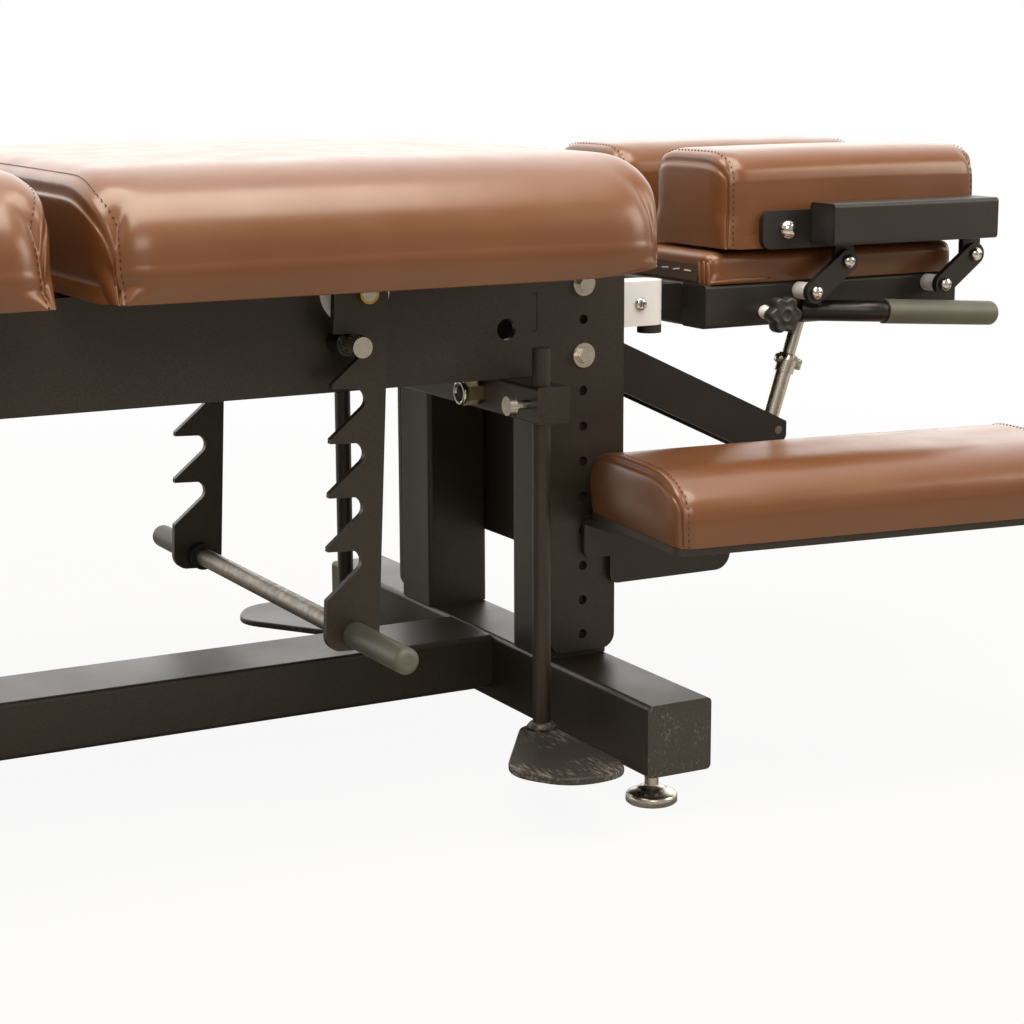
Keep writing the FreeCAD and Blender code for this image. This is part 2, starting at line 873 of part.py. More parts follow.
head_column_x = size("table_length") / 2 - size("head_overhang")
foot_end_x = -size("table_length") / 2
pelvic_high_x = head_column_x - size("pelvic_start")
pelvic_low_x = pelvic_high_x - size("pelvic_length")
half_width = size("cushion_width") / 2
deck_z = size("deck_height") + size("board_thickness")
deck_cushion_top = size("deck_height") + size("cushion_height")


def deck_cushion(label, low_x, high_x, nose=0):
    low = Vector(low_x, -half_width, deck_z)
    high = Vector(high_x, half_width, deck_cushion_top)
    shape = cushion_shape(low, high, size("cushion_corner"), size("cushion_roll"),
                          size("cushion_end_roll"), nose)
    return cushion(label, shape)


def deck_board(label, low_x, high_x):
    outline = rectangle(
        f"{low_x} + board_inset", "board_inset - cushion_width / 2",
        f"{high_x} - board_inset", "cushion_width / 2 - board_inset",
    )
    body = plate(label, "XY", outline, "board_thickness",
                 [("cushion_corner - board_inset", (0, 1, 2, 3))])
    return put(body, ("0", "0", "deck_height"))


# Fixed pelvic and leg sections
pelvic_end = f"({head_column} - pelvic_start)"
pelvic_foot = f"({pelvic_end} - pelvic_length)"
leg_end = f"({pelvic_foot} - cushion_gap)"
node("deck_boards", group("deck_board_pair", [
    deck_board("pelvic_board", pelvic_foot, pelvic_end),
    deck_board("leg_board", "-table_length / 2", leg_end),
]))
node("pelvic_cushion", deck_cushion("pelvic_cushion_form", pelvic_low_x, pelvic_high_x))
node("leg_cushion", deck_cushion(
    "leg_cushion_form", foot_end_x, pelvic_low_x - size("cushion_gap")))

# Body section: board on two tube rails that hinge on pins inside the side plates
body_low = f"({head_column} - body_start)"
body_high = f"({head_column} + body_end)"
node("body_board", deck_board("body_board_body", body_low, f"{body_high} - body_nose"))
node("body_cushion", deck_cushion(
    "body_cushion_form", head_column_x - size("body_start"),
    head_column_x + size("body_end"), size("body_nose")))

rail_inner = "(body_rail_spread - body_rail_side)"
hinge_x = f"({head_column} - hinge_set_back)"
ratchet_x = f"({head_column} - ratchet_set_back)"
rails = []
for side in sides:
    rail = tube(
        f"body_rail_{side}", "X", "body_rail_side", "body_rail_side", "body_rail_wall",
        "body_rail_wall", "hinge_set_back + hinge_tail - body_rail_front",
        (f"{hinge_x} - hinge_tail", outward(side, "body_rail_spread - body_rail_side / 2"),
         pivot_height),
    )
    bores = [
        bar(
            f"rail_{name}_bore_{side}", f"{diameter} / 2 + pin_clearance",
            "body_rail_side + 2 * cut_overrun",
            (place, across(side, f"{rail_inner} - cut_overrun",
                           "body_rail_spread + cut_overrun"), pivot_height),
            "Y",
        )
        for name, diameter, place in (
            ("hinge", "hinge_pin_diameter", hinge_x), ("pivot", "pivot_diameter", ratchet_x))
    ]
    rails.append(cut(f"bored_rail_{side}", rail, *bores))
node("body_rails", group("body_rail_pair", rails))

hinge_pins = [
    bar(
        f"hinge_pin_{side}", "hinge_pin_diameter / 2", f"post_spread - {rail_inner}",
        (hinge_x, across(side, rail_inner, "post_spread"), pivot_height), "Y",
    )
    for side in sides
]

# Ratchet pivots: shouldered bolts from the rails, nylon glides that are flat under the
# deck, and nuts outside the ratchet plates
pivots = []
nuts = []
glides = []
for side in sides:
    stem = bar(
        f"pivot_stem_{side}", "pivot_diameter / 2",
        f"{ratchet_outer} + running_gap + pivot_nut_height - {rail_inner}",
        (ratchet_x,
         across(side, rail_inner, f"{ratchet_outer} + running_gap + pivot_nut_height"),
         pivot_height),
        "Y",
    )
    shoulder = bar(
        f"pivot_shoulder_{side}", "pivot_shoulder_diameter / 2",
        f"ratchet_inner - running_gap - {glide_outer}",
        (ratchet_x, across(side, glide_outer, "ratchet_inner - running_gap"), pivot_height),
        "Y",
    )
    pivots.append(fuse(f"pivot_bolt_{side}", [stem, shoulder]))
    nut = bar(
        f"pivot_nut_{side}", "pivot_nut_diameter / 2", "pivot_nut_height",
        (ratchet_x,
         across(side, f"{ratchet_outer} + running_gap",
                f"{ratchet_outer} + running_gap + pivot_nut_height"),
         pivot_height),
        "Y",
    )
    thread = bar(
        f"pivot_thread_{side}", "pivot_diameter / 2 + pin_clearance",
        "pivot_nut_height + 2 * cut_overrun",
        (ratchet_x,
         across(side, f"{ratchet_outer} + running_gap - cut_overrun",
                f"{ratchet_outer} + running_gap + pivot_nut_height + cut_overrun"),
         pivot_height),
        "Y",
    )
    nuts.append(cut(f"threaded_pivot_nut_{side}", nut, thread))
    disc = bar(
        f"glide_disc_{side}", "glide_diameter / 2", "glide_thickness",
        (ratchet_x, across(side, f"{plate_outer} + running_gap", glide_outer), pivot_height),
        "Y",
    )
    bore = bar(
        f"glide_bore_{side}", "pivot_diameter / 2 + pin_clearance",
        "glide_thickness + 2 * cut_overrun",
        (ratchet_x,
         across(side, f"{plate_outer} + running_gap - cut_overrun",
                f"{glide_outer} + cut_overrun"),
         pivot_height),
        "Y",
    )
    flat = document.addObject("Part::Box", f"glide_flat_{side}")
    flat.setExpression("Length", bound("glide_diameter + 2 * cut_overrun"))
    flat.setExpression("Width", bound("glide_thickness + 2 * cut_overrun"))
    flat.setExpression("Height", bound("glide_diameter"))
    put(flat, (
        f"{ratchet_x} - glide_diameter / 2 - cut_overrun",
        across(side, f"{plate_outer} + running_gap - cut_overrun",
               f"{glide_outer} + cut_overrun"),
        "deck_height - running_gap",
    ))
    glides.append(cut(f"bored_glide_{side}", disc, bore, flat))
node("ratchet_pivot_bolts", group("pivot_bolt_pair", pivots))
node("pivot_nuts", group("pivot_nut_pair", nuts))
node("glide_washers", group("glide_pair", glides))


# Ratchet plates: hanging bars with saw notches, drawn about the pivot and then leaned
def ratchet_plate(side):
    outline = [("-tooth_reach", "ratchet_top")]
    notch_count = int(size("notch_count"))
    for step in range(notch_count):
        lip = f"-(first_tooth + {step} * tooth_pitch + tooth_nose)"
        root = "(tooth_pitch - tooth_nose) / tan(flank_angle) - tooth_reach"
        outline.append(("-tooth_reach", lip))
        outline.append((root, lip))
        outline.append(("-tooth_reach", f"-(first_tooth + {step + 1} * tooth_pitch)"))
    outline.append(("-tooth_reach", "-ratchet_length"))
    outline.append(("ratchet_back", "-ratchet_length"))
    outline.append(("ratchet_back", "ratchet_top"))
    roots = tuple(2 + 3 * step for step in range(notch_count))
    foot = len(outline) - 3
    holes = [
        (("0", "0"), "pivot_diameter / 2 + pin_clearance"),
        (("-ratchet_bar_offset", "-ratchet_bar_drop"), "ratchet_bar_diameter / 2 + pin_clearance"),
    ]
    body = plate(
        f"ratchet_{side}", "XZ", outline, "ratchet_thickness",
        [("root_radius", roots), ("ratchet_corner", (foot, foot + 1)),
         ("ratchet_top_corner", (foot + 2,))], holes,
    )
    start = (ratchet_x, across(side, "ratchet_inner", ratchet_outer), pivot_height)
    return put(body, start, Vector(0, 1, 0), "ratchet_lean")


node("ratchet_plate_near", ratchet_plate("near"))
node("ratchet_plate_far", ratchet_plate("far"))

# Release bar between the ratchet plates, with collars inside and rubber grips outside
bar_place = (
    f"({ratchet_x} - ratchet_bar_offset * cos(ratchet_lean)"
    f" - ratchet_bar_drop * sin(ratchet_lean))",
    f"({pivot_height} + ratchet_bar_offset * sin(ratchet_lean)"
    f" - ratchet_bar_drop * cos(ratchet_lean))",
)
rod = bar(
    "release_rod", "ratchet_bar_diameter / 2", "2 * (grip_end - grip_wall)",
    (bar_place[0], "grip_wall - grip_end", bar_place[1]), "Y",
)
collars = [
    bar(
        f"release_collar_{side}", "collar_diameter / 2", "collar_length",
        (bar_place[0], across(side, "ratchet_inner - collar_length", "ratchet_inner"),
         bar_place[1]),
        "Y",
    )
    for side in sides
]
node("ratchet_bar", fuse("release_bar", [rod, *collars]))

grips = []
for side in sides:
    sleeve = bar(
        f"bar_grip_{side}", "grip_diameter / 2", f"grip_end - {ratchet_outer}",
        (bar_place[0], across(side, ratchet_outer, "grip_end"), bar_place[1]), "Y",
    )
    bore = bar(
        f"bar_grip_bore_{side}", "ratchet_bar_diameter / 2 + pin_clearance",
        f"grip_end - grip_wall + pin_clearance - {ratchet_outer} + cut_overrun",
        (bar_place[0],
         across(side, f"{ratchet_outer} - cut_overrun", "grip_end - grip_wall + pin_clearance"),
         bar_place[1]),
        "Y",
    )
    rounded = rounded_rim(f"rounded_bar_grip_{side}", sleeve, "grip_round")
    grips.append(cut(f"bored_bar_grip_{side}", rounded, bore))
node("ratchet_grips", group("bar_grip_pair", grips))

# Foot pedals: two upright rods welded to plates at the floor and to a cross bar above
pedal_x = f"({head_column} - pedal_set_back)"
bar_x = f"({head_column} - bar_set_back)"
bar_bottom = "(beam_bottom - running_gap - bar_side)"
bar_z = f"({bar_bottom} + bar_side / 2)"
rods = []
foot_plates = []
rod_holes = []
for side in sides:
    middle = outward(side, "pedal_spread")
    rods.append(bar(f"pedal_rod_{side}", "pedal_rod_diameter / 2",
                    "pedal_rod_top - pedal_top", (pedal_x, middle, "pedal_top"), "Z"))
    rod_holes.append(bar(
        f"pedal_rod_hole_{side}", "pedal_rod_diameter / 2 + pin_clearance",
        "bar_side + 2 * cut_overrun", (pedal_x, middle, f"{bar_bottom} - cut_overrun"), "Z"))
    flip = "-1 * " if side == "near" else ""
    outline = [
        (f"{head_column} - pedal_heel", f"{flip}pedal_inner"),
        (f"{head_column} - pedal_heel", f"{flip}pedal_outer"),
        (f"{head_column} - pedal_side", f"{flip}pedal_outer"),
        (f"{head_column} - pedal_toe", f"{flip}pedal_shoulder"),
        (f"{head_column} - pedal_neck", f"{flip}pedal_inner"),
    ]
    foot_plate = plate(f"foot_plate_{side}", "XY", outline, "pedal_thickness",
                       [("pedal_corner", (1, 2)), ("pedal_toe_corner", (3,)),
                        ("pedal_thickness", (0, 4))])
    foot_plates.append(put(foot_plate, ("0", "0", "pedal_top - pedal_thickness")))
node("pedal_rods", group("pedal_rod_pair", rods))
node("foot_pedals", group("foot_plate_pair", foot_plates))

bar_tube = tube(
    "pedal_bar", "Y", "bar_side", "bar_side", "bar_wall", "bar_corner",
    "2 * (bar_half_length - bar_wall)", (bar_x, "bar_wall - bar_half_length", bar_z),
)
bar_caps = [
    cap("pedal_bar_cap_near", "Y", "bar_side", "bar_side", "bar_corner",
        (bar_x, "-bar_half_length", bar_z), "bar_wall"),
    cap("pedal_bar_cap_far", "Y", "bar_side", "bar_side", "bar_corner",
        (bar_x, "bar_half_length - bar_wall", bar_z), "bar_wall"),
]
node("pedal_cross_bar", group("pedal_bar_set", [
    cut("pedal_bar_bored", bar_tube, *rod_holes), *bar_caps]))

bar_hardware = []
for side in sides:
    nut_y = outward(side, "bar_nut_spread")
    screw_y = outward(side, "bar_screw_spread")
    bar_hardware.append(fuse(f"bar_nut_{side}", [
        hexagon(f"bar_nut_hex_{side}", "bar_nut_circle", "bar_nut_length",
                (f"{bar_left} - bar_nut_length", nut_y, bar_z), "X"),
        bar(f"bar_stud_{side}", "bar_screw_diameter / 2", "bar_stud_length",
            (f"{bar_left} - bar_stud_length", nut_y, bar_z), "X"),
    ]))
    bar_hardware.append(fuse(f"bar_screw_{side}", [
        bar(f"bar_screw_shank_{side}", "bar_screw_diameter / 2", "bar_screw_length",
            (f"{bar_left} - bar_screw_length", screw_y, bar_z), "X"),
        bar(f"bar_screw_head_{side}", "bar_screw_head / 2", "bar_screw_head_height",
            (f"{bar_left} - bar_screw_length - bar_screw_head_height", screw_y, bar_z), "X"),
    ]))
node("pedal_bar_hardware", group("bar_hardware_set", bar_hardware))

# Head pivot: nylon blocks on the end plate, their screws and stubs, and the pivot pins
pivot_x = f"({head_column} + head_pivot_reach)"
blocks = []
block_screws = []
block_stubs = []
pivot_pins = []
head_arms = []
arm_inner = "(head_arm_outer - head_arm_thickness)"
for side in sides:
    block_outline = rectangle(
        end_plate_front, across(side, "block_inner", "block_outer"),
        f"{end_plate_front} + block_length",
        "-block_inner" if side == "near" else "block_outer",
    )
    block = put(
        plate(f"block_{side}", "XY", block_outline, "block_top - block_bottom",
              [("block_round", (1, 2))]),
        ("0", "0", "block_bottom"),
    )
    bore = bar(
        f"block_bore_{side}", "head_pin_diameter / 2 + pin_clearance",
        "block_outer - block_inner + 2 * cut_overrun",
        (pivot_x, across(side, "block_inner - cut_overrun", "block_outer + cut_overrun"),
         "head_pivot_height"),
        "Y",
    )
    blocks.append(cut(f"bored_block_{side}", block, bore))
    pivot_pins.append(bar(
        f"head_pin_{side}", "head_pin_diameter / 2", f"block_outer - {arm_inner}",
        (pivot_x, across(side, arm_inner, "block_outer"), "head_pivot_height"), "Y"))
    block_screws.append(bar(
        f"block_screw_{side}", "block_screw_diameter / 2", "block_screw_height",
        (pivot_x, across(side, "block_outer", "block_outer + block_screw_height"),
         "head_pivot_height"),
        "Y",
    ))
    block_stubs.append(bar(
        f"block_stub_{side}", "stub_diameter / 2", "stub_length",
        (f"{head_column} + stub_reach",
         outward(side, "block_outer - stub_diameter / 2 - running_gap"),
         "block_bottom - stub_length"),
        "Z",
    ))
    arm_outline = [
        (f"{pivot_x} - head_arm_height / 2", "head_pivot_height - head_arm_height / 2"),
        (f"{head_column} + head_frame_start", "head_pivot_height - head_arm_height / 2"),
        (f"{head_column} + head_frame_start", f"head_pivot_height + head_arm_height / 2"),
        (f"{pivot_x} - head_arm_height / 2", "head_pivot_height + head_arm_height / 2"),
    ]
    arm_hole = ((pivot_x, "head_pivot_height"), "head_pin_diameter / 2 + pin_clearance")
    head_arms.append(put(
        plate(f"head_arm_{side}", "XZ", arm_outline, "head_arm_thickness",
              [("head_arm_height / 2 - pin_clearance", (0, 3))], [arm_hole]),
        ("0", across(side, arm_inner, "head_arm_outer"), "0"),
    ))
node("pivot_blocks", group("block_pair", blocks))
node("block_screws", group("block_screw_pair", block_screws))
node("block_stubs", group("block_stub_pair", block_stubs))
node("section_pivot_pins", group("pivot_pin_set", [*hinge_pins, *pivot_pins]))

# Head frame: two side tubes, two cross tubes and the arms that reach back to the pivot
frame_x = f"({head_column} + head_frame_start)"
frame_length = "(head_frame_end - head_frame_start)"
frame_z = "(head_frame_bottom + head_tube_side / 2)"
strut_top_x = f"({head_column} + strut_foot_reach + {strut_length} * sin(strut_angle))"
frame_pieces = list(head_arms)
for side in sides:
    frame_pieces.append(tube(
        f"head_side_tube_{side}", "X", "head_tube_side", "head_tube_side", "tube_wall",
        "head_tube_corner", frame_length,
        (frame_x, outward(side, "head_frame_spread - head_tube_side / 2"), frame_z),
    ))
for name, place in (("front", frame_x), ("rear", f"{frame_x} + {frame_length} - head_tube_side")):
    frame_pieces.append(tube(
        f"head_cross_tube_{name}", "Y", "head_tube_side", "head_tube_side", "tube_wall",
        "head_tube_corner", f"2 * {head_frame_inner}",
        (f"{place} + head_tube_side / 2", f"-{head_frame_inner}", frame_z),
    ))
for side in sides:
    for name, place in (("front", frame_x),
                        ("rear", f"{frame_x} + {frame_length} - tube_wall")):
        frame_pieces.append(end_plug(
            f"head_tube_plug_{name}_{side}", "head_tube_side",
            (place, outward(side, "head_frame_spread - head_tube_side / 2"), frame_z)))
frame_pieces.append(bar(
    "strut_top_pin", "strut_pin_diameter / 2",
    f"{head_frame_inner} - strut_offset + strut_eye_thickness / 2",
    (strut_top_x, f"-{head_frame_inner}", strut_top_height), "Y",
))
node("head_frame", group("head_frame_set", frame_pieces))

platform_low = Vector(
    head_column_x + size("platform_start"), -size("head_frame_spread"),
    size("head_frame_bottom") + size("head_tube_side"),
)
platform_high = Vector(
    head_column_x + size("head_frame_end"), size("head_frame_spread"),
    platform_low.z + size("platform_height"),
)
node("head_platform_pad", cushion("platform_form", cushion_shape(
    platform_low, platform_high, size("platform_corner"), size("platform_roll"),
    size("platform_roll"))))


# Lift links: flat bars on both sides, front and rear, that carry the side bars level
def link_place(row):
    step = "0" if row == "front" else "link_spacing"
    return f"({head_column} + link_pivot_reach + {step})"


def link(label, row, side):
    outline = rectangle("-link_width / 2", "-link_width / 2",
                        "link_length + link_width / 2", "link_width / 2")
    body = plate(
        f"{label}_bar", "XZ", outline, "link_thickness",
        [("link_width / 2 - pin_clearance", (0, 1, 2, 3))],
        [(("0", "0"), "link_bolt_diameter / 2 + pin_clearance"),
         (("link_length", "0"), "link_bolt_diameter / 2 + pin_clearance")],
    )
    start = (link_place(row), across(side, "link_inner", link_outer), "link_pivot_height")
    return put(body, start, Vector(0, 1, 0), "-link_angle")


def link_bolt(label, side, place, height, inner):
    shank = bar(f"{label}_shank", "link_bolt_diameter / 2", f"{link_outer} - {inner}",
                (place, across(side, inner, link_outer), height), "Y")
    head_inner = f"({link_outer} + running_gap)"
    head_outer = f"({head_inner} + link_bolt_head_height)"
    stub = bar(f"{label}_neck", "link_bolt_diameter / 2", "running_gap",
               (place, across(side, link_outer, head_inner), height), "Y")
    head = bar(f"{label}_head", "link_bolt_head / 2", "link_bolt_head_height",
               (place, across(side, head_inner, head_outer), height), "Y")
    return fuse(label, [shank, stub, head])


upper_bolt_x = "link_length * cos(link_angle)"
upper_bolt_z = "(link_pivot_height + link_length * sin(link_angle))"
lower_bolts = []
upper_bolts = []
spacers = []
for row in ("front", "rear"):
    for side in sides:
        lower_bolts.append(link_bolt(
            f"lower_bolt_{row}_{side}", side, link_place(row), "link_pivot_height",
            "head_frame_spread"))
        upper_bolts.append(link_bolt(
            f"upper_bolt_{row}_{side}", side, f"{link_place(row)} + {upper_bolt_x}",
            upper_bolt_z, "side_bar_inner"))
        ring = bar(
            f"spacer_ring_{row}_{side}", "spacer_diameter / 2",
            "link_inner - running_gap - head_frame_spread",
            (link_place(row),
             across(side, "head_frame_spread", "link_inner - running_gap"),
             "link_pivot_height"),
            "Y",
        )
        ring_bore = bar(
            f"spacer_bore_{row}_{side}", "link_bolt_diameter / 2 + pin_clearance",
            "link_inner - head_frame_spread + 2 * cut_overrun",
            (link_place(row),
             across(side, "head_frame_spread - cut_overrun", "link_inner + cut_overrun"),
             "link_pivot_height"),
            "Y",
        )
        spacers.append(cut(f"link_spacer_{row}_{side}", ring, ring_bore))
node("link_spacers", group("link_spacer_set", spacers))
node("link_bolts", group("lower_bolt_set", lower_bolts))

# Side bars on the links, with a bolted lug at the front end of each
side_bars = []
lugs = []
domes = []
side_bar_plugs = []
board_outer = "(side_bar_inner - plate_thickness)"
hanger_inner = "(link_inner - running_gap - plate_thickness)"
for side in sides:
    side_bars.append(tube(
        f"side_bar_{side}", "X", "side_bar_side", "side_bar_side", "tube_wall",
        "head_tube_corner", "side_bar_end - side_bar_start",
        (f"{head_column} + side_bar_start",
         outward(side, "side_bar_inner + side_bar_side / 2"),
         "side_bar_bottom + side_bar_side / 2"),
    ))
    for row, plug_x in (("front", "side_bar_start"), ("rear", "side_bar_end - tube_wall")):
        side_bar_plugs.append(end_plug(
            f"side_bar_plug_{row}_{side}", "side_bar_side",
            (f"{head_column} + {plug_x}",
             outward(side, "side_bar_inner + side_bar_side / 2"),
             "side_bar_bottom + side_bar_side / 2")))
        bolt_x = f"{link_place(row)} + {upper_bolt_x}"
        hanger_outline = rectangle(
            f"{bolt_x} - link_width / 2", f"{upper_bolt_z} - link_width / 2",
            f"{bolt_x} + link_width / 2", "side_bar_bottom",
        )
        hanger_hole = ((bolt_x, upper_bolt_z), "link_bolt_diameter / 2 + pin_clearance")
        side_bars.append(put(
            plate(f"hanger_{row}_{side}", "XZ", hanger_outline, "plate_thickness",
                  [("link_width / 2 - pin_clearance", (0, 1))], [hanger_hole]),
            ("0", across(side, hanger_inner, f"{hanger_inner} + plate_thickness"), "0"),
        ))
    lug_outline = rectangle(
        f"{head_column} + lug_start", "lug_bottom",
        f"{head_column} + lug_end", "lug_bottom + lug_height",
    )
    lugs.append(put(
        plate(f"lug_{side}", "XZ", lug_outline, "plate_thickness", [("lug_corner", (0, 3))]),
        ("0", across(side, board_outer, "side_bar_inner"), "0"),
    ))
    domes.append(bar(
        f"dome_bolt_{side}", "dome_bolt_diameter / 2", "dome_bolt_height",
        (f"{head_column} + dome_bolt_reach",
         across(side, "side_bar_inner", "side_bar_inner + dome_bolt_height"),
         "lug_bottom + lug_height / 2"),
        "Y",
    ))
node("head_side_bars", group("side_bar_set", [*side_bars, *lugs]))
node("side_bar_plugs", group("side_bar_plug_set", side_bar_plugs))
node("side_bar_bolts", group("side_bar_bolt_set", [*domes, *upper_bolts]))
node("front_lift_links", group("front_link_pair", [
    link(f"front_link_{side}", "front", side) for side in sides]))
node("rear_lift_links", group("rear_link_pair", [
    link(f"rear_link_{side}", "rear", side) for side in sides]))

# Head cushions: a pair of pads on boards between the lugs, with the face gap between them
head_boards = []
head_pads = []
for side in sides:
    low_y = across(side, "face_gap / 2", board_outer)
    high_y = "-face_gap / 2" if side == "near" else board_outer
    board_outline = rectangle(
        f"{head_column} + head_cushion_start + board_inset", low_y,
        "table_length / 2 - board_inset", high_y,
    )
    head_boards.append(put(
        plate(f"head_board_{side}", "XY", board_outline, "board_thickness",
              [("head_cushion_corner - board_inset", (0, 1, 2, 3))]),
        ("0", "0", "head_cushion_bottom"),
    ))
    inner_y = size("face_gap") / 2
    outer_y = size("side_bar_inner") - size("plate_thickness") - size("running_gap")
    span = (-outer_y, -inner_y) if side == "near" else (inner_y, outer_y)
    pad_bottom = size("head_cushion_bottom") + size("board_thickness")
    pad_low = Vector(head_column_x + size("head_cushion_start"), span[0], pad_bottom)
    pad_high = Vector(size("table_length") / 2, span[1],
                      size("head_cushion_bottom") + size("head_cushion_height"))
    head_pads.append(cushion(f"head_pad_{side}", cushion_shape(
        pad_low, pad_high, size("head_cushion_corner"), size("head_cushion_roll"),
        size("head_cushion_end_roll"))))
node("head_cushion_boards", group("head_board_pair", head_boards))
node("head_cushions", group("head_pad_pair", head_pads))


# Tilt handle: a bent bar welded to the near side of the head frame, with a rubber grip
def handle_path():
    start = Vector(head_column_x + size("handle_reach"), -size("head_frame_spread"),
                   size("head_frame_bottom") + size("handle_rise"))
    slope = math.radians(size("handle_slope"))
    forward = Vector(math.cos(slope), 0, -math.sin(slope))
    angle = math.radians(size("handle_flare"))
    outward_run = Vector(math.cos(angle), -math.sin(angle), 0)
    stand_off = size("handle_spread") - size("head_frame_spread")
    corner = start + outward_run * (stand_off / math.sin(angle))
    finish = corner + forward * size("handle_length")
    turn = outward_run.getAngle(forward)
    bend = size("handle_bend") * math.tan(turn / 2)
    first = corner - outward_run * bend
    last = corner + forward * bend
    towards = (forward - outward_run).normalize()
    middle = corner + towards * (size("handle_bend") / math.cos(turn / 2) - size("handle_bend"))
    path = Part.Wire([
        Part.LineSegment(start, first).toShape(),
        Part.Arc(first, middle, last).toShape(),
        Part.LineSegment(last, finish).toShape(),
    ])
    return path, start, outward_run, finish, forward


path, handle_foot, outward_run, handle_tip, forward = handle_path()
profile = Part.Wire(Part.Circle(handle_foot, outward_run, size("handle_diameter") / 2).toShape())
handle = path.makePipeShell([profile], True, False)
trim = Part.makeBox(
    size("handle_length"), size("handle_diameter"), size("handle_length"),
    handle_foot - Vector(size("handle_length") / 2, 0, size("handle_length") / 2),
)
node("tilt_handle", cushion("tilt_handle_form", handle.cut(trim)))
grip_start = handle_tip - forward * (size("handle_grip_length") - size("grip_wall"))
grip = Part.makeCylinder(
    size("handle_grip_diameter") / 2, size("handle_grip_length"), grip_start, forward)
grip_bore = Part.makeCylinder(
    size("handle_diameter") / 2 + size("pin_clearance"),
    size("handle_grip_length") - size("grip_wall") + size("cut_overrun"),
    grip_start - forward * size("cut_overrun"), forward)
grip_rim = [edge for edge in grip.Edges
            if abs((edge.CenterOfMass - handle_tip).dot(forward) - size("grip_wall")) < same_place]
grip = grip.makeFillet(size("handle_grip_round"), grip_rim)
node("handle_grip", cushion("handle_grip_form", grip.cut(grip_bore)))

# Lock knob: a lobed knob on a stem at the near side of the head frame
knob_x = f"({head_column} + knob_reach)"
knob_z = "(head_frame_bottom + knob_rise)"
knob_pieces = [
    bar("knob_core", "knob_core_diameter / 2", "knob_thickness",
        (knob_x, "-knob_outer", knob_z), "Y"),
    bar("knob_stem", "knob_stem_diameter / 2",
        "knob_outer - head_frame_spread - running_gap",
        (knob_x, "-knob_outer", knob_z), "Y"),
]
for lobe in range(int(size("knob_lobes"))):
    turn = f"{lobe} * 360 / knob_lobes"
    orbit = "(knob_diameter - knob_lobe_diameter) / 2"
    knob_pieces.append(bar(
        f"knob_lobe_{lobe}", "knob_lobe_diameter / 2", "knob_thickness",
        (f"{knob_x} + {orbit} * cos({turn})", "-knob_outer",
         f"{knob_z} + {orbit} * sin({turn})"),
        "Y",
    ))
node("lock_knob", fuse("knob_solid", knob_pieces))


# Strut arm: an open-bottomed channel from the end plate down to the strut's trunnions
arm_run = f"({head_column} + arm_end - {end_plate_front})"
arm_fall = f"({arm_run} * tan(arm_slope))"
arm_near = "-(strut_offset + arm_width / 2)"
arm_outline = [
    ("0", "0"),
    (arm_run, f"-{arm_fall}"),
    (arm_run, f"-{arm_fall} - arm_nose"),
    (f"{arm_run} - arm_nose", f"-{arm_fall} - arm_depth + arm_nose * tan(arm_slope)"),
    ("0", "-arm_depth"),
]
arm_start = (end_plate_front, arm_near, arm_top)
arm_solid = put(plate("arm_channel", "XZ", arm_outline, "arm_width"), arm_start)
arm_skin = "arm_wall / cos(arm_slope)"
hollow_outline = [
    ("-cut_overrun", f"-{arm_skin}"),
    (f"{arm_run} + cut_overrun", f"-{arm_fall} - {arm_skin}"),
    (f"{arm_run} + cut_overrun", f"-{arm_fall} - 2 * arm_depth"),
    ("-cut_overrun", "-2 * arm_depth"),
]
arm_hollow = put(
    plate("arm_hollow", "XZ", hollow_outline, "arm_width - 2 * arm_wall"),
    (end_plate_front, f"{arm_near} + arm_wall", arm_top),
)
strut_foot_x = f"({head_column} + strut_foot_reach)"
arm_slot = document.addObject("Part::Box", "arm_slot")
arm_slot.setExpression("Length", bound("arm_end - strut_foot_reach + arm_slot_back + cut_overrun"))
arm_slot.setExpression("Width", bound("arm_width - 2 * arm_wall"))
arm_slot.setExpression("Height", bound("2 * arm_depth"))
put(arm_slot, (f"{strut_foot_x} - arm_slot_back", f"{arm_near} + arm_wall",
               strut_foot_height))
arm_bore = bar(
    "arm_bore", "strut_pin_diameter / 2 + pin_clearance", "arm_width + 2 * cut_overrun",
    (strut_foot_x, f"{arm_near} - cut_overrun", strut_foot_height), "Y",
)
node("strut_arm", cut("strut_arm_cut", arm_solid, arm_hollow, arm_slot, arm_bore))


# Head strut: a trunnion tube with a clamp collar, and the rod that slides in it
def strut_round(label, radius, start, end):
    item = document.addObject("Part::Cylinder", label)
    item.setExpression("Radius", bound(radius))
    item.setExpression("Height", bound(f"{end} - ({start})"))
    foot = (
        f"{strut_foot_x} + ({start}) * sin(strut_angle)", "-strut_offset",
        f"{strut_foot_height} + ({start}) * cos(strut_angle)",
    )
    return put(item, foot, Vector(0, 1, 0), "strut_angle")


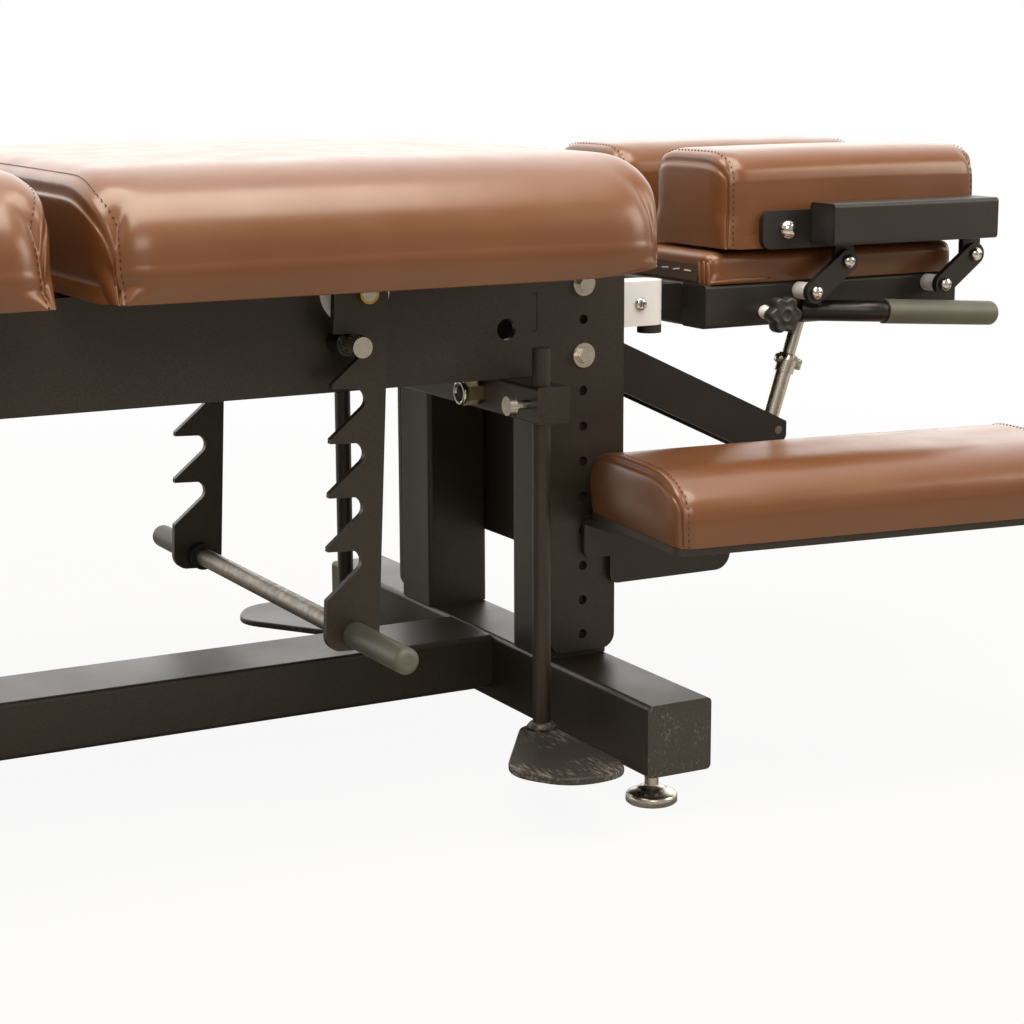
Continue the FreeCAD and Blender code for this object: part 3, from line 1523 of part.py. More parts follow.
strut_outer = strut_round("strut_tube_outer", "strut_tube_diameter / 2",
                          "-strut_tube_tail", strut_tube_length)
strut_collar = strut_round("strut_collar", "strut_collar_diameter / 2",
                           f"{strut_tube_length} - strut_collar_height", strut_tube_length)
strut_bore = strut_round("strut_tube_bore", "strut_rod_diameter / 2 + pin_clearance",
                         "strut_end_wall - strut_tube_tail",
                         f"{strut_tube_length} + cut_overrun")
trunnion = bar("strut_trunnion", "strut_pin_diameter / 2", "arm_width",
               (strut_foot_x, arm_near, strut_foot_height), "Y")
node("strut_tube", cut("strut_tube_bored",
                       fuse("strut_tube_solid", [strut_outer, strut_collar, trunnion]),
                       strut_bore))
strut_rod = strut_round("strut_rod_bar", "strut_rod_diameter / 2",
                        "-strut_rod_start", f"{strut_length} - strut_pin_diameter / 2")
strut_eye = bar(
    "strut_eye", "strut_eye_diameter / 2", "strut_eye_thickness",
    (strut_top_x, "-strut_offset - strut_eye_thickness / 2", strut_top_height), "Y",
)
strut_eye_bore = bar(
    "strut_eye_bore", "strut_pin_diameter / 2 + strut_pin_clearance",
    "strut_rod_diameter + 2 * cut_overrun",
    (strut_top_x, "-strut_offset - strut_rod_diameter / 2 - cut_overrun",
     strut_top_height),
    "Y",
)
node("strut_rod", cut("strut_rod_cut", fuse("strut_rod_solid", [strut_rod, strut_eye]),
                      strut_eye_bore))

# Armrest: bracket on the leg plate, steel tray with a pivot pin, and the cushion on it.
# The table has it on the near side only.
tray_bottom = "(bracket_top + running_gap)"
for side in armrest_sides:
    sign = -1 if side == "near" else 1
    flip = "-1 * " if side == "near" else ""
    left = f"{head_column} - bracket_left"
    step = f"{head_column} + bracket_step"
    shelf = "(bracket_top - bracket_thickness)"
    outline = [
        (left, shelf),
        (left, "bracket_notch"),
        (step, "bracket_notch"),
        (step, "bracket_bottom"),
        (f"{head_column} + bracket_right", "bracket_bottom"),
        (f"{head_column} + bracket_right", shelf),
    ]
    upright = put(
        plate(f"bracket_plate_{side}", "XZ", outline, "bracket_thickness",
              [("bracket_corner", (1, 3)), ("2 * bracket_corner", (4,))]),
        ("0", across(side, plate_outer, f"{plate_outer} + bracket_thickness"), "0"),
    )
    shelf_outline = rectangle(
        left, across(side, plate_outer, "bracket_outer"),
        f"{head_column} + bracket_right",
        f"-{plate_outer}" if side == "near" else "bracket_outer",
    )
    pivot_place = (f"{head_column} + armrest_pivot_reach", f"{flip}armrest_pivot_spread")
    shelf_plate = put(
        plate(f"bracket_shelf_{side}", "XY", shelf_outline, "bracket_thickness", (),
              [(pivot_place, "armrest_pin_diameter / 2 + pin_clearance")]),
        ("0", "0", shelf),
    )
    node(f"armrest_bracket_{side}", fuse(f"armrest_bracket_{side}_solid",
                                         [upright, shelf_plate]))
    inner = f"{flip}(armrest_inner - armrest_pivot_spread + armrest_board_inset)"
    outer = f"{flip}(armrest_outer - armrest_pivot_spread - armrest_board_inset)"
    low, high = (outer, inner) if side == "near" else (inner, outer)
    tray_outline = rectangle(
        "armrest_board_inset - armrest_back", low,
        "armrest_length - armrest_back - armrest_board_inset", high,
    )
    tray = put(
        plate(f"armrest_tray_{side}", "XY", tray_outline, "armrest_board_thickness",
              [("armrest_corner - armrest_board_inset", (0, 1, 2, 3))]),
        (*pivot_place, tray_bottom), Vector(0, 0, 1), f"{sign} * armrest_angle",
    )
    pin = bar(
        f"armrest_pin_{side}", "armrest_pin_diameter / 2",
        "bracket_thickness + running_gap", (*pivot_place, shelf), "Z",
    )
    node(f"armrest_board_{side}", fuse(f"armrest_board_{side}_solid", [tray, pin]))
    reach = (size("armrest_inner") - size("armrest_pivot_spread"),
             size("armrest_outer") - size("armrest_pivot_spread"))
    span = (-reach[1], -reach[0]) if side == "near" else reach
    pad = cushion_shape(
        Vector(-size("armrest_back"), span[0], 0),
        Vector(size("armrest_length") - size("armrest_back"), span[1],
               size("armrest_cushion_height")),
        size("armrest_corner"), size("armrest_roll"), size("armrest_end_roll"),
    )
    base = Vector(
        head_column_x + size("armrest_pivot_reach"), sign * size("armrest_pivot_spread"),
        size("bracket_top") + size("running_gap") + size("armrest_board_thickness"),
    )
    turn = Rotation(Vector(0, 0, 1), sign * size("armrest_angle"))
    node(f"armrest_cushion_{side}", cushion(f"armrest_pad_{side}", pad, base, turn))

document.recompute()
for item in document.Objects:
    if "Invalid" in item.State or "Error" in item.State:
        raise RuntimeError(f"{item.Label} failed: {item.State}")
for name, item in sub_parts.items():
    if item.Shape.isNull() or not item.Shape.isValid():
        raise RuntimeError(f"{name} has no valid shape")

# The armrest reaches further out than anything on the far side. The origin is at the middle
# of the whole width, so every sub-part is moved across by half of the difference.
reach_low = min(item.Shape.BoundBox.YMin for item in sub_parts.values())
reach_high = max(item.Shape.BoundBox.YMax for item in sub_parts.values())
recentre = Vector(0, -(reach_low + reach_high) / 2, 0)

os.makedirs("parts", exist_ok=True)
for name, item in sub_parts.items():
    item.Shape.translated(recentre).exportStep(f"parts/{name}.step")
print(f"frame middle at Y {recentre.y:.4f}")
print(f"{len(sub_parts)} sub-parts written")
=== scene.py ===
import math

import bmesh
import bpy
from mathutils import Matrix, Quaternion, Vector


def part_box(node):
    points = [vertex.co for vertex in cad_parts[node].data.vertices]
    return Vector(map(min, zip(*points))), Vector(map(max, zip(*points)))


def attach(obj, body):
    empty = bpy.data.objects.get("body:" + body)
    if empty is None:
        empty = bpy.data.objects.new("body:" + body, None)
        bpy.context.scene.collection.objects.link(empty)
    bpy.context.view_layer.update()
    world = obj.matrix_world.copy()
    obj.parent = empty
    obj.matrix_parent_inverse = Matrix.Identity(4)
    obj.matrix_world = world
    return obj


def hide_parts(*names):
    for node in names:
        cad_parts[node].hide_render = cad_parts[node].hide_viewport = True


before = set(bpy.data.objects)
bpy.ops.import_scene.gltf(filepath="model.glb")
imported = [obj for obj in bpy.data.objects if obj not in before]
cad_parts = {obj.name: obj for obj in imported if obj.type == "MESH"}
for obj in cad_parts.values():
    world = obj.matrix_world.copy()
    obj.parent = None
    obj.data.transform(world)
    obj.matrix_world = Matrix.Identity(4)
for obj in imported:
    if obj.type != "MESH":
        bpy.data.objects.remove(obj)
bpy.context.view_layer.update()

# The photographer's place: low beside the table, turned towards its head end, with a long
# lens. Angles in degrees, lengths in metres.
low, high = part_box("head_cross_member")
table_middle = (low.y + high.y) / 2
camera_yaw, camera_drop, camera_roll = 28.7, 11.4, -0.2
camera_spot = (-0.5457, table_middle - 1.8845, 0.6395)
camera_data = bpy.data.cameras.new("table_camera")
camera_data.sensor_width = 36
camera_data.lens = 80.36
camera_data.clip_end = 60
camera = bpy.data.objects.new("table_camera", camera_data)
bpy.context.collection.objects.link(camera)
looking = Vector((
    math.sin(math.radians(camera_yaw)) * math.cos(math.radians(camera_drop)),
    math.cos(math.radians(camera_yaw)) * math.cos(math.radians(camera_drop)),
    -math.sin(math.radians(camera_drop)),
))
camera.location = camera_spot
camera.rotation_mode = "QUATERNION"
camera.rotation_quaternion = (
    looking.to_track_quat("-Z", "Y") @ Quaternion((0, 0, 1), math.radians(camera_roll)))
bpy.context.scene.camera = camera


# The studio: a pale floor that keeps the table's soft shadow, white walls, a large
# softbox overhead and two upright ones. The floor and the walls are no part of the table.
def linear(hex_text):
    """Linear colour of an sRGB hex value."""
    parts = [int(hex_text[place:place + 2], 16) / 255 for place in (1, 3, 5)]
    return (*(c / 12.92 if c <= 0.04045 else ((c + 0.055) / 1.055) ** 2.4 for c in parts), 1)


def shade(tree, kind, sockets=(), **settings):
    """Adds a node, sets its properties, and fills or links its input sockets."""
    added = tree.nodes.new(kind)
    for setting, choice in settings.items():
        setattr(added, setting, choice)
    for socket, source in dict(sockets).items():
        if isinstance(source, bpy.types.NodeSocket):
            tree.links.new(source, added.inputs[socket])
        else:
            added.inputs[socket].default_value = source
    return added


def new_finish(name):
    """Material without nodes yet, and its node tree."""
    finish = bpy.data.materials.new(name)
    finish.use_nodes = True
    finish.node_tree.nodes.clear()
    return finish, finish.node_tree


floor_paint, tree = new_finish("matt_white_studio_floor")
path = shade(tree, "ShaderNodeLightPath")
place = shade(tree, "ShaderNodeTexCoord")
distance = shade(tree, "ShaderNodeVectorMath", {0: place.outputs["Object"]}, operation="LENGTH")
# The floor fades into the white walls between 0.9 and 2.6 m from the table
fade = shade(tree, "ShaderNodeMapRange",
             {"Value": distance.outputs["Value"], "From Min": 0.9, "From Max": 2.6,
              "To Min": 0.93, "To Max": 1.0})
share = shade(tree, "ShaderNodeMath", {0: path.outputs["Is Camera Ray"], 1: fade.outputs[0]},
              operation="MULTIPLY")
paint = shade(tree, "ShaderNodeBsdfDiffuse", {"Color": linear("#BDBBB6")})
glow = shade(tree, "ShaderNodeEmission", {"Color": (1, 1, 1, 1), "Strength": 1.0})
seen = shade(tree, "ShaderNodeMixShader",
             {0: share.outputs[0], 1: paint.outputs[0], 2: glow.outputs[0]})
shade(tree, "ShaderNodeOutputMaterial", {"Surface": seen.outputs[0]})

floor_half_width = 14
floor_mesh = bpy.data.meshes.new("studio_floor")
shape = bmesh.new()
bmesh.ops.create_grid(shape, x_segments=1, y_segments=1, size=floor_half_width)
shape.to_mesh(floor_mesh)
shape.free()
floor = bpy.data.objects.new("studio_floor", floor_mesh)
floor_mesh.materials.append(floor_paint)
bpy.context.collection.objects.link(floor)

# Walls: white behind the table, dim behind the photographer, which the polished and
# painted steel mirrors.
world = bpy.data.worlds.new("studio_walls")
world.use_nodes = True
tree = world.node_tree
tree.nodes.clear()
path = shade(tree, "ShaderNodeLightPath")
direct = shade(tree, "ShaderNodeMath",
               {0: path.outputs["Is Camera Ray"], 1: path.outputs["Is Transmission Ray"]},
               operation="MAXIMUM")
place = shade(tree, "ShaderNodeTexCoord")
heading = shade(tree, "ShaderNodeSeparateXYZ", {"Vector": place.outputs["Generated"]})
behind = shade(tree, "ShaderNodeMapRange",
               {"Value": heading.outputs["Y"], "From Min": -0.2, "From Max": 0.6,
                "To Min": 0.45, "To Max": 2.2})
seen_white = shade(tree, "ShaderNodeBackground", {"Color": (1, 1, 1, 1), "Strength": 1.0})
mirrored = shade(tree, "ShaderNodeBackground",
                 {"Color": linear("#FBF8F4"), "Strength": behind.outputs[0]})
fill_light = shade(tree, "ShaderNodeBackground", {"Color": linear("#F4EFE8"), "Strength": 0.27})
reflected = shade(tree, "ShaderNodeMixShader",
                  {0: path.outputs["Is Glossy Ray"], 1: fill_light.outputs[0],
                   2: mirrored.outputs[0]})
walls = shade(tree, "ShaderNodeMixShader",
              {0: direct.outputs[0], 1: reflected.outputs[0], 2: seen_white.outputs[0]})
shade(tree, "ShaderNodeOutputWorld", {"Surface": walls.outputs[0]})
bpy.context.scene.world = world
bpy.context.scene.view_settings.view_transform = "Standard"

for name, place, aim, width, height, power in (
        ("softbox_overhead", (0.1, -0.5, 2.6), (0.1, 0.1, 0.4), 2.6, 1.6, 104),
        ("softbox_front", (-0.7, -3.1, 2.1), (0.2, 0.0, 0.4), 1.6, 1.2, 28),
        ("softbox_head_end", (2.6, -1.4, 1.5), (0.5, 0.0, 0.4), 1.2, 1.4, 30)):
    lamp_data = bpy.data.lights.new(name, "AREA")
    lamp_data.shape = "RECTANGLE"
    lamp_data.size = width
    lamp_data.size_y = height
    lamp_data.energy = power
    lamp_data.color = linear("#FFF1DE")[:3]
    lamp = bpy.data.objects.new(name, lamp_data)
    lamp.location = place
    lamp.rotation_euler = (Vector(aim) - Vector(place)).to_track_quat("-Z", "Y").to_euler()
    bpy.context.collection.objects.link(lamp)


# Floor frame, side plates and every welded or cut steel part: mild steel under a satin
# dark bronze powder coat, fine orange peel with a faint fleck, a little thinner and paler
# at handled places.
def powder_coat(name, hex_dark, hex_pale, roughness, scuff=0.0):
    finish, tree = new_finish(name)
    place = shade(tree, "ShaderNodeTexCoord")
    # Orange peel 1.1 mm across; the fleck, 0.5 mm in truth, is drawn 1.4 mm across to show
    peel = shade(tree, "ShaderNodeTexNoise",
                 {"Vector": place.outputs["Object"], "Scale": 900, "Detail": 2.0})
    fleck = shade(tree, "ShaderNodeTexVoronoi",
                  {"Vector": place.outputs["Object"], "Scale": 700})
    cloud = shade(tree, "ShaderNodeTexNoise",
                  {"Vector": place.outputs["Object"], "Scale": 9, "Detail": 4.0})
    speck = shade(tree, "ShaderNodeMapRange",
                  {"Value": fleck.outputs["Distance"], "From Min": 0.05, "From Max": 0.5,
                   "To Min": 1.0, "To Max": 0.0})
    blend = shade(tree, "ShaderNodeMath",
                  {0: cloud.outputs["Fac"], 1: speck.outputs[0]}, operation="MULTIPLY")
    colour = shade(tree, "ShaderNodeMix",
                   {0: blend.outputs[0], 6: linear(hex_dark), 7: linear(hex_pale)},
                   data_type="RGBA")
    if scuff:
        # Scratches left by shoes, 2 mm apart, in patches 70 mm across
        drawn = shade(tree, "ShaderNodeMapping",
                      {"Vector": place.outputs["Object"], "Rotation": (0.5, 0.4, 0.9),
                       "Scale": (1.0, 0.15, 0.6)})
        streaks = shade(tree, "ShaderNodeTexNoise",
                        {"Vector": drawn.outputs[0], "Scale": 480, "Detail": 3.0})
        patches = shade(tree, "ShaderNodeTexNoise",
                        {"Vector": place.outputs["Object"], "Scale": 14, "Detail": 2.0})
        struck = shade(tree, "ShaderNodeMath",
                       {0: streaks.outputs["Fac"], 1: patches.outputs["Fac"]},
                       operation="MULTIPLY")
        worn = shade(tree, "ShaderNodeMapRange",
                     {"Value": struck.outputs[0], "From Min": 0.29, "From Max": 0.42,
                      "To Min": 0.0, "To Max": scuff})
        colour = shade(tree, "ShaderNodeMix",
                       {0: worn.outputs[0], 6: colour.outputs[2], 7: linear("#8F8981")},
                       data_type="RGBA")
    rough = shade(tree, "ShaderNodeMapRange",
                  {"Value": cloud.outputs["Fac"], "From Min": 0.3, "From Max": 0.7,
                   "To Min": roughness - 0.05, "To Max": roughness + 0.06})
    bump = shade(tree, "ShaderNodeBump",
                 {"Height": peel.outputs["Fac"], "Strength": 0.22, "Distance": 0.0004})
    skin = shade(tree, "ShaderNodeBsdfPrincipled",
                 {"Base Color": colour.outputs[2], "Roughness": rough.outputs[0],
                  "IOR": 1.5, "Normal": bump.outputs[0]})
    shade(tree, "ShaderNodeOutputMaterial", {"Surface": skin.outputs[0]})
    return finish


frame_coat = powder_coat("satin_bronze_powder_coat", "#26211A", "#443C31", 0.40)
scuffed_coat = powder_coat("scuffed_grey_powder_coat", "#292825", "#4A4843", 0.40, 0.55)
head_coat = powder_coat("fine_black_powder_coat", "#1B1816", "#302B27", 0.44)
black_coat = powder_coat("gloss_black_powder_coat", "#110F0E", "#1D1A18", 0.30)


def coat(finish, *nodes, rounds=True):
    """Gives CAD nodes a finish, and smooths their round faces but not their edges."""
    for node in nodes:
        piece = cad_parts[node]
        for place in piece.material_slots:
            place.material = finish
        if rounds:
            piece.data.shade_smooth()
            weld = piece.modifiers.new("joined_faces", "WELD")
            weld.merge_threshold = 0.00001
            split = piece.modifiers.new("crisp_edges", "EDGE_SPLIT")
            split.split_angle = math.radians(30)
            piece.modifiers.new("even_shading", "WEIGHTED_NORMAL")


coat(frame_coat, "head_cross_member", "foot_cross_member", "base_rail", "head_posts",
     "foot_posts", "side_plate_near", "side_plate_far", "head_end_plate",
     "frame_cross_ties", "armrest_bracket_near", "body_rails", "ratchet_plate_near",
     "ratchet_plate_far", "pedal_rods", "pedal_cross_bar", "armrest_board_near")
coat(head_coat, "head_frame", "front_lift_links", "rear_lift_links", "head_side_bars",
     "strut_arm")
coat(black_coat, "tilt_handle", "catch_sleeves")


def recoat(node, finish, chosen):
    """Gives some faces of a CAD node another finish; chosen picks them by their centres."""
    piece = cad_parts[node]
    piece.data.materials.append(finish)
    place = len(piece.data.materials) - 1
    for face in piece.data.polygons:
        if chosen(piece.matrix_world @ face.center):
            face.material_index = place


# The end caps of the cross members are scuffed by shoes
cap_skin = 0.0005
for node in ("head_cross_member", "foot_cross_member"):
    low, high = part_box(node)
    recoat(node, scuffed_coat,
           lambda spot: spot.y < low.y + cap_skin or spot.y > high.y - cap_skin)


# Fasteners: zinc plated steel, satin with the grey bloom that plating leaves.
def plated_steel(name, hex_light, hex_dark, roughness, scratch):
    finish, tree = new_finish(name)
    place = shade(tree, "ShaderNodeTexCoord")
    # Bloom in patches 6 mm across, fine handling scratches 1 mm apart
    bloom = shade(tree, "ShaderNodeTexNoise",
                  {"Vector": place.outputs["Object"], "Scale": 160, "Detail": 3.0})
    marks = shade(tree, "ShaderNodeTexNoise",
                  {"Vector": place.outputs["Object"], "Scale": 1000, "Detail": 1.0})
    colour = shade(tree, "ShaderNodeMix",
                   {0: bloom.outputs["Fac"], 6: linear(hex_light), 7: linear(hex_dark)},
                   data_type="RGBA")
    rough = shade(tree, "ShaderNodeMapRange",
                  {"Value": bloom.outputs["Fac"], "From Min": 0.3, "From Max": 0.7,
                   "To Min": roughness, "To Max": roughness + scratch})
    bump = shade(tree, "ShaderNodeBump",
                 {"Height": marks.outputs["Fac"], "Strength": 0.08, "Distance": 0.0002})
    skin = shade(tree, "ShaderNodeBsdfPrincipled",
                 {"Base Color": colour.outputs[2], "Metallic": 1.0,
                  "Roughness": rough.outputs[0], "Normal": bump.outputs[0]})
    shade(tree, "ShaderNodeOutputMaterial", {"Surface": skin.outputs[0]})
    return finish


zinc = plated_steel("bright_zinc_plate", "#DAD7CE", "#A9A59A", 0.22, 0.14)
coat(zinc, "frame_bolts", "foot_lock_nuts", "section_pivot_pins",
     "ratchet_pivot_bolts", "pedal_bar_hardware", "catch_pins")
chrome = plated_steel("polished_chrome_plate", "#E2E1DD", "#C3C1BB", 0.07, 0.06)
satin_chrome = plated_steel("satin_chrome_plate", "#D9D5CB", "#BAB5AA", 0.20, 0.08)
coat(satin_chrome, "strut_tube", "strut_rod")
drawn_steel = plated_steel("satin_drawn_steel", "#8B877E", "#65615A", 0.36, 0.14)
coat(drawn_steel, "ratchet_bar")
yellow_zinc = plated_steel("yellow_passivated_zinc", "#D9B661", "#A07F35", 0.26, 0.12)
coat(yellow_zinc, "pivot_nuts")


# Small moulded parts: white nylon blocks, glides and spacers, black and grey rubber.
def moulded(name, hex_low, hex_high, roughness, grain_scale, grain, subsurface=0.0):
    finish, tree = new_finish(name)
    place = shade(tree, "ShaderNodeTexCoord")
    # Mould grain of 1 / grain_scale metres, 0.5 to 1.7 mm; colour drift 33 mm across
    texture = shade(tree, "ShaderNodeTexNoise",
                    {"Vector": place.outputs["Object"], "Scale": grain_scale, "Detail": 3.0})
    drift = shade(tree, "ShaderNodeTexNoise",
                  {"Vector": place.outputs["Object"], "Scale": 30, "Detail": 2.0})
    colour = shade(tree, "ShaderNodeMix",
                   {0: drift.outputs["Fac"], 6: linear(hex_low), 7: linear(hex_high)},
                   data_type="RGBA")
    bump = shade(tree, "ShaderNodeBump",
                 {"Height": texture.outputs["Fac"], "Strength": grain, "Distance": 0.0004})
    skin = shade(tree, "ShaderNodeBsdfPrincipled",
                 {"Base Color": colour.outputs[2], "Roughness": roughness, "IOR": 1.5,
                  "Subsurface Weight": subsurface, "Subsurface Scale": 0.004,
                  "Normal": bump.outputs[0]})
    shade(tree, "ShaderNodeOutputMaterial", {"Surface": skin.outputs[0]})
    return finish


nylon = moulded("machined_white_nylon", "#DDE3EA", "#EDF1F6", 0.38, 600, 0.05, 0.15)
coat(nylon, "glide_washers", "pivot_blocks", "link_spacers")
# Black rubber, also used as painted shade in the block screws' cross-shaped hollows
black_rubber_and_painted_shade = moulded("moulded_black_rubber_and_painted_shade", "#131211", "#1E1C1A", 0.6, 900, 0.15)
coat(black_rubber_and_painted_shade, "block_stubs")
grey_rubber = moulded("dipped_grey_rubber", "#4A4C44", "#61635A", 0.50, 1100, 0.2)
coat(grey_rubber, "ratchet_grips", "handle_grip")
black_nylon = moulded("glass_filled_black_nylon", "#1D1B1C", "#2C2A2B", 0.46, 900, 0.12)
coat(black_nylon, "side_bar_plugs", rounds=False)

# The release bar's collars are black; the bar itself is 17.5 mm across
collar_reach = 0.0095
low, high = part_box("ratchet_bar")
bar_x, bar_z = (low.x + high.x) / 2, (low.z + high.z) / 2
recoat("ratchet_bar", black_rubber_and_painted_shade,
       lambda spot: math.hypot(spot.x - bar_x, spot.z - bar_z) > collar_reach)
# The lock nuts sit further in on the pedal bar than its screws, and are yellower
nut_reach = 0.15
pale_zinc = plated_steel("pale_passivated_zinc", "#CFC09C", "#9C8C68", 0.26, 0.12)
recoat("pedal_bar_hardware", pale_zinc, lambda spot: abs(spot.y - table_middle) < nut_reach)


# Deck cushions: firm foam on the boards, wrapped in saddle brown upholstery vinyl. A long
# wrap covers the top and sides, a separate panel closes the end, and the seam between
# them runs round the corner with a row of top stitching beside it.
def upholstery_vinyl(name, hex_shade, hex_lit, roughness):
    finish, tree = new_finish(name)
    place = shade(tree, "ShaderNodeTexCoord")
    # Embossed hide grain 1.3 mm across; slow colour drift a hand wide
    hide = shade(tree, "ShaderNodeTexVoronoi",
                 {"Vector": place.outputs["Object"], "Scale": 780}, feature="SMOOTH_F1")
    fine = shade(tree, "ShaderNodeTexNoise",
                 {"Vector": place.outputs["Object"], "Scale": 1500, "Detail": 2.0})
    drift = shade(tree, "ShaderNodeTexNoise",
                  {"Vector": place.outputs["Object"], "Scale": 7, "Detail": 3.0})
    wave = shade(tree, "ShaderNodeTexNoise",
                 {"Vector": place.outputs["Object"], "Scale": 22, "Detail": 2.0})
    colour = shade(tree, "ShaderNodeMix",
                   {0: drift.outputs["Fac"], 6: linear(hex_shade), 7: linear(hex_lit)},
                   data_type="RGBA")
    grain_height = shade(tree, "ShaderNodeMath",
                         {0: hide.outputs["Distance"], 1: fine.outputs["Fac"]},
                         operation="ADD")
    rough = shade(tree, "ShaderNodeMapRange",
                  {"Value": wave.outputs["Fac"], "From Min": 0.3, "From Max": 0.7,
                   "To Min": roughness - 0.04, "To Max": roughness + 0.05})
    slow = shade(tree, "ShaderNodeBump",
                 {"Height": wave.outputs["Fac"], "Strength": 0.16, "Distance": 0.004})
    bump = shade(tree, "ShaderNodeBump",
                 {"Height": grain_height.outputs[0], "Strength": 0.07, "Distance": 0.0004,
                  "Normal": slow.outputs[0]})
    skin = shade(tree, "ShaderNodeBsdfPrincipled",
                 {"Base Color": colour.outputs[2], "Roughness": rough.outputs[0],
                  "IOR": 1.5, "Coat Weight": 0.28, "Coat Roughness": 0.20,
                  "Normal": bump.outputs[0]})
    shade(tree, "ShaderNodeOutputMaterial", {"Surface": skin.outputs[0]})
    return finish


brown_vinyl = upholstery_vinyl("saddle_brown_upholstery_vinyl", "#613A1F", "#754A28", 0.33)
coat(brown_vinyl, "deck_boards", "body_board", "head_cushion_boards", rounds=False)
thread = moulded("waxed_brown_thread", "#2F1C10", "#43291A", 0.7, 2000, 0.1)


def add_piece(name, shape, finish, body, smooth=True):
    """Object from a finished bmesh, with its finish, riding on a body."""
    mesh = bpy.data.meshes.new(name)
    shape.to_mesh(mesh)
    shape.free()
    if smooth:
        mesh.shade_smooth()
    mesh.materials.append(finish)
    piece = bpy.data.objects.new(name, mesh)
    bpy.context.collection.objects.link(piece)
    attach(piece, body)
    return piece


def upholstered_skin(half_x, half_y, height, corner, shoulder, rise, end_shoulder,
                     end_rise, draw, nose=0.0, end_swell=0.0, lean=0.0,
                     foot_corner=0.25):
    """Function that lays a point of a plain block onto the upholstered form.

    The block stands on its base, centred on the origin. The corner is rounded in plan, at
    the foot by foot_corner of its radius. The shoulders roll over to the crown, the foot
    of each side is drawn in, the head end can be cut back below its nose, and the other
    end can lean out over its foot.
    """
    def skin(point):
        x, y, z = point
        up = z / height
        side_gap = max(0.0, half_y - abs(y))
        end_gap = max(0.0, half_x - abs(x))
        side_part = min(1.0, side_gap / shoulder)
        end_part = min(1.0, end_gap / end_shoulder)
        side_fall = rise * (1 - math.sqrt(max(0.0, 1 - (1 - side_part) ** 2)))
        end_fall = end_rise * (1 - math.sqrt(max(0.0, 1 - (1 - end_part) ** 2)))
        crown_fall = 0.03 * height * ((x / half_x) ** 2 + (y / half_y) ** 2) / 2
        roof = height - side_fall - end_fall * (1 - 0.35 * side_fall / rise) - crown_fall
        tight = corner * (foot_corner + (1 - foot_corner) * min(1.0, up / 0.5))
        inner_x = max(tight - half_x, min(half_x - tight, x))
        inner_y = max(tight - half_y, min(half_y - tight, y))
        reach_x, reach_y = x - inner_x, y - inner_y
        longest = max(abs(reach_x), abs(reach_y))
        length = math.hypot(reach_x, reach_y)
        if longest > 0:
            inner_x += reach_x * longest / length
            inner_y += reach_y * longest / length
        foot = max(0.0, 1 - up / 0.9) ** 1.6
        upper = max(0.0, (up - 0.35) / 0.65) ** 2
        inset = draw * (foot + 0.35 * upper)
        out_x = inner_x * (1 - inset / half_x)
        out_y = inner_y * (1 - inset / half_y)
        if nose and x > 0:
            near_end = max(0.0, min(1.0, (x - half_x + 2.2 * nose) / (2.2 * nose)))
            cut_back = nose * max(0.0, 1 - up / 0.42) ** 2.1
            out_x -= cut_back * near_end * near_end * (3 - 2 * near_end)
        if lean and x < 0:
            near_end = max(0.0, 1 - (x + half_x) / (8 * lean))
            out_x += lean * (1 - up) * near_end
        swell = max(0.0, 1 - (y / half_y) ** 2) * max(0.0, 1 - (2 * up - 1) ** 2)
        if x <= -half_x + 1e-6:
            out_x -= end_swell * swell
        elif x >= half_x - 1e-6 and not nose:
            out_x += end_swell * swell
        return Vector((out_x, out_y, up * roof))
    return skin


def block_rows(half, first, growth, coarse):
    """Places of the cuts across a block, close together at its ends, coarse between."""
    gaps, place, step = [], 0.0, first
    while place + step < half:
        place += step
        gaps.append(place)
        step = min(step * growth, coarse)
    return sorted({round(half - gap, 6) for gap in gaps}
                  | {round(gap - half, 6) for gap in gaps})


# Top stitching: pitch of its threads, the row's distance from the seam, a thread's half size
stitch_pitch, stitch_inset = 0.0055, 0.0085
stitch_size = (0.0016, 0.0005, 0.0005)


def seam_profile(gap):
    """Height of the vinyl beside a seam, in metres: a tucked valley, then a folded lip."""
    valley = -0.0017 * math.exp(-(gap / 0.0012) ** 2)
    lip = 0.0009 * math.exp(-((gap - 0.0036) / 0.0022) ** 2) if gap > 0 else 0.0
    row = -0.0004 * math.exp(-((gap - stitch_inset) / 0.0016) ** 2) if gap > 0 else 0.0
    return valley + lip + row


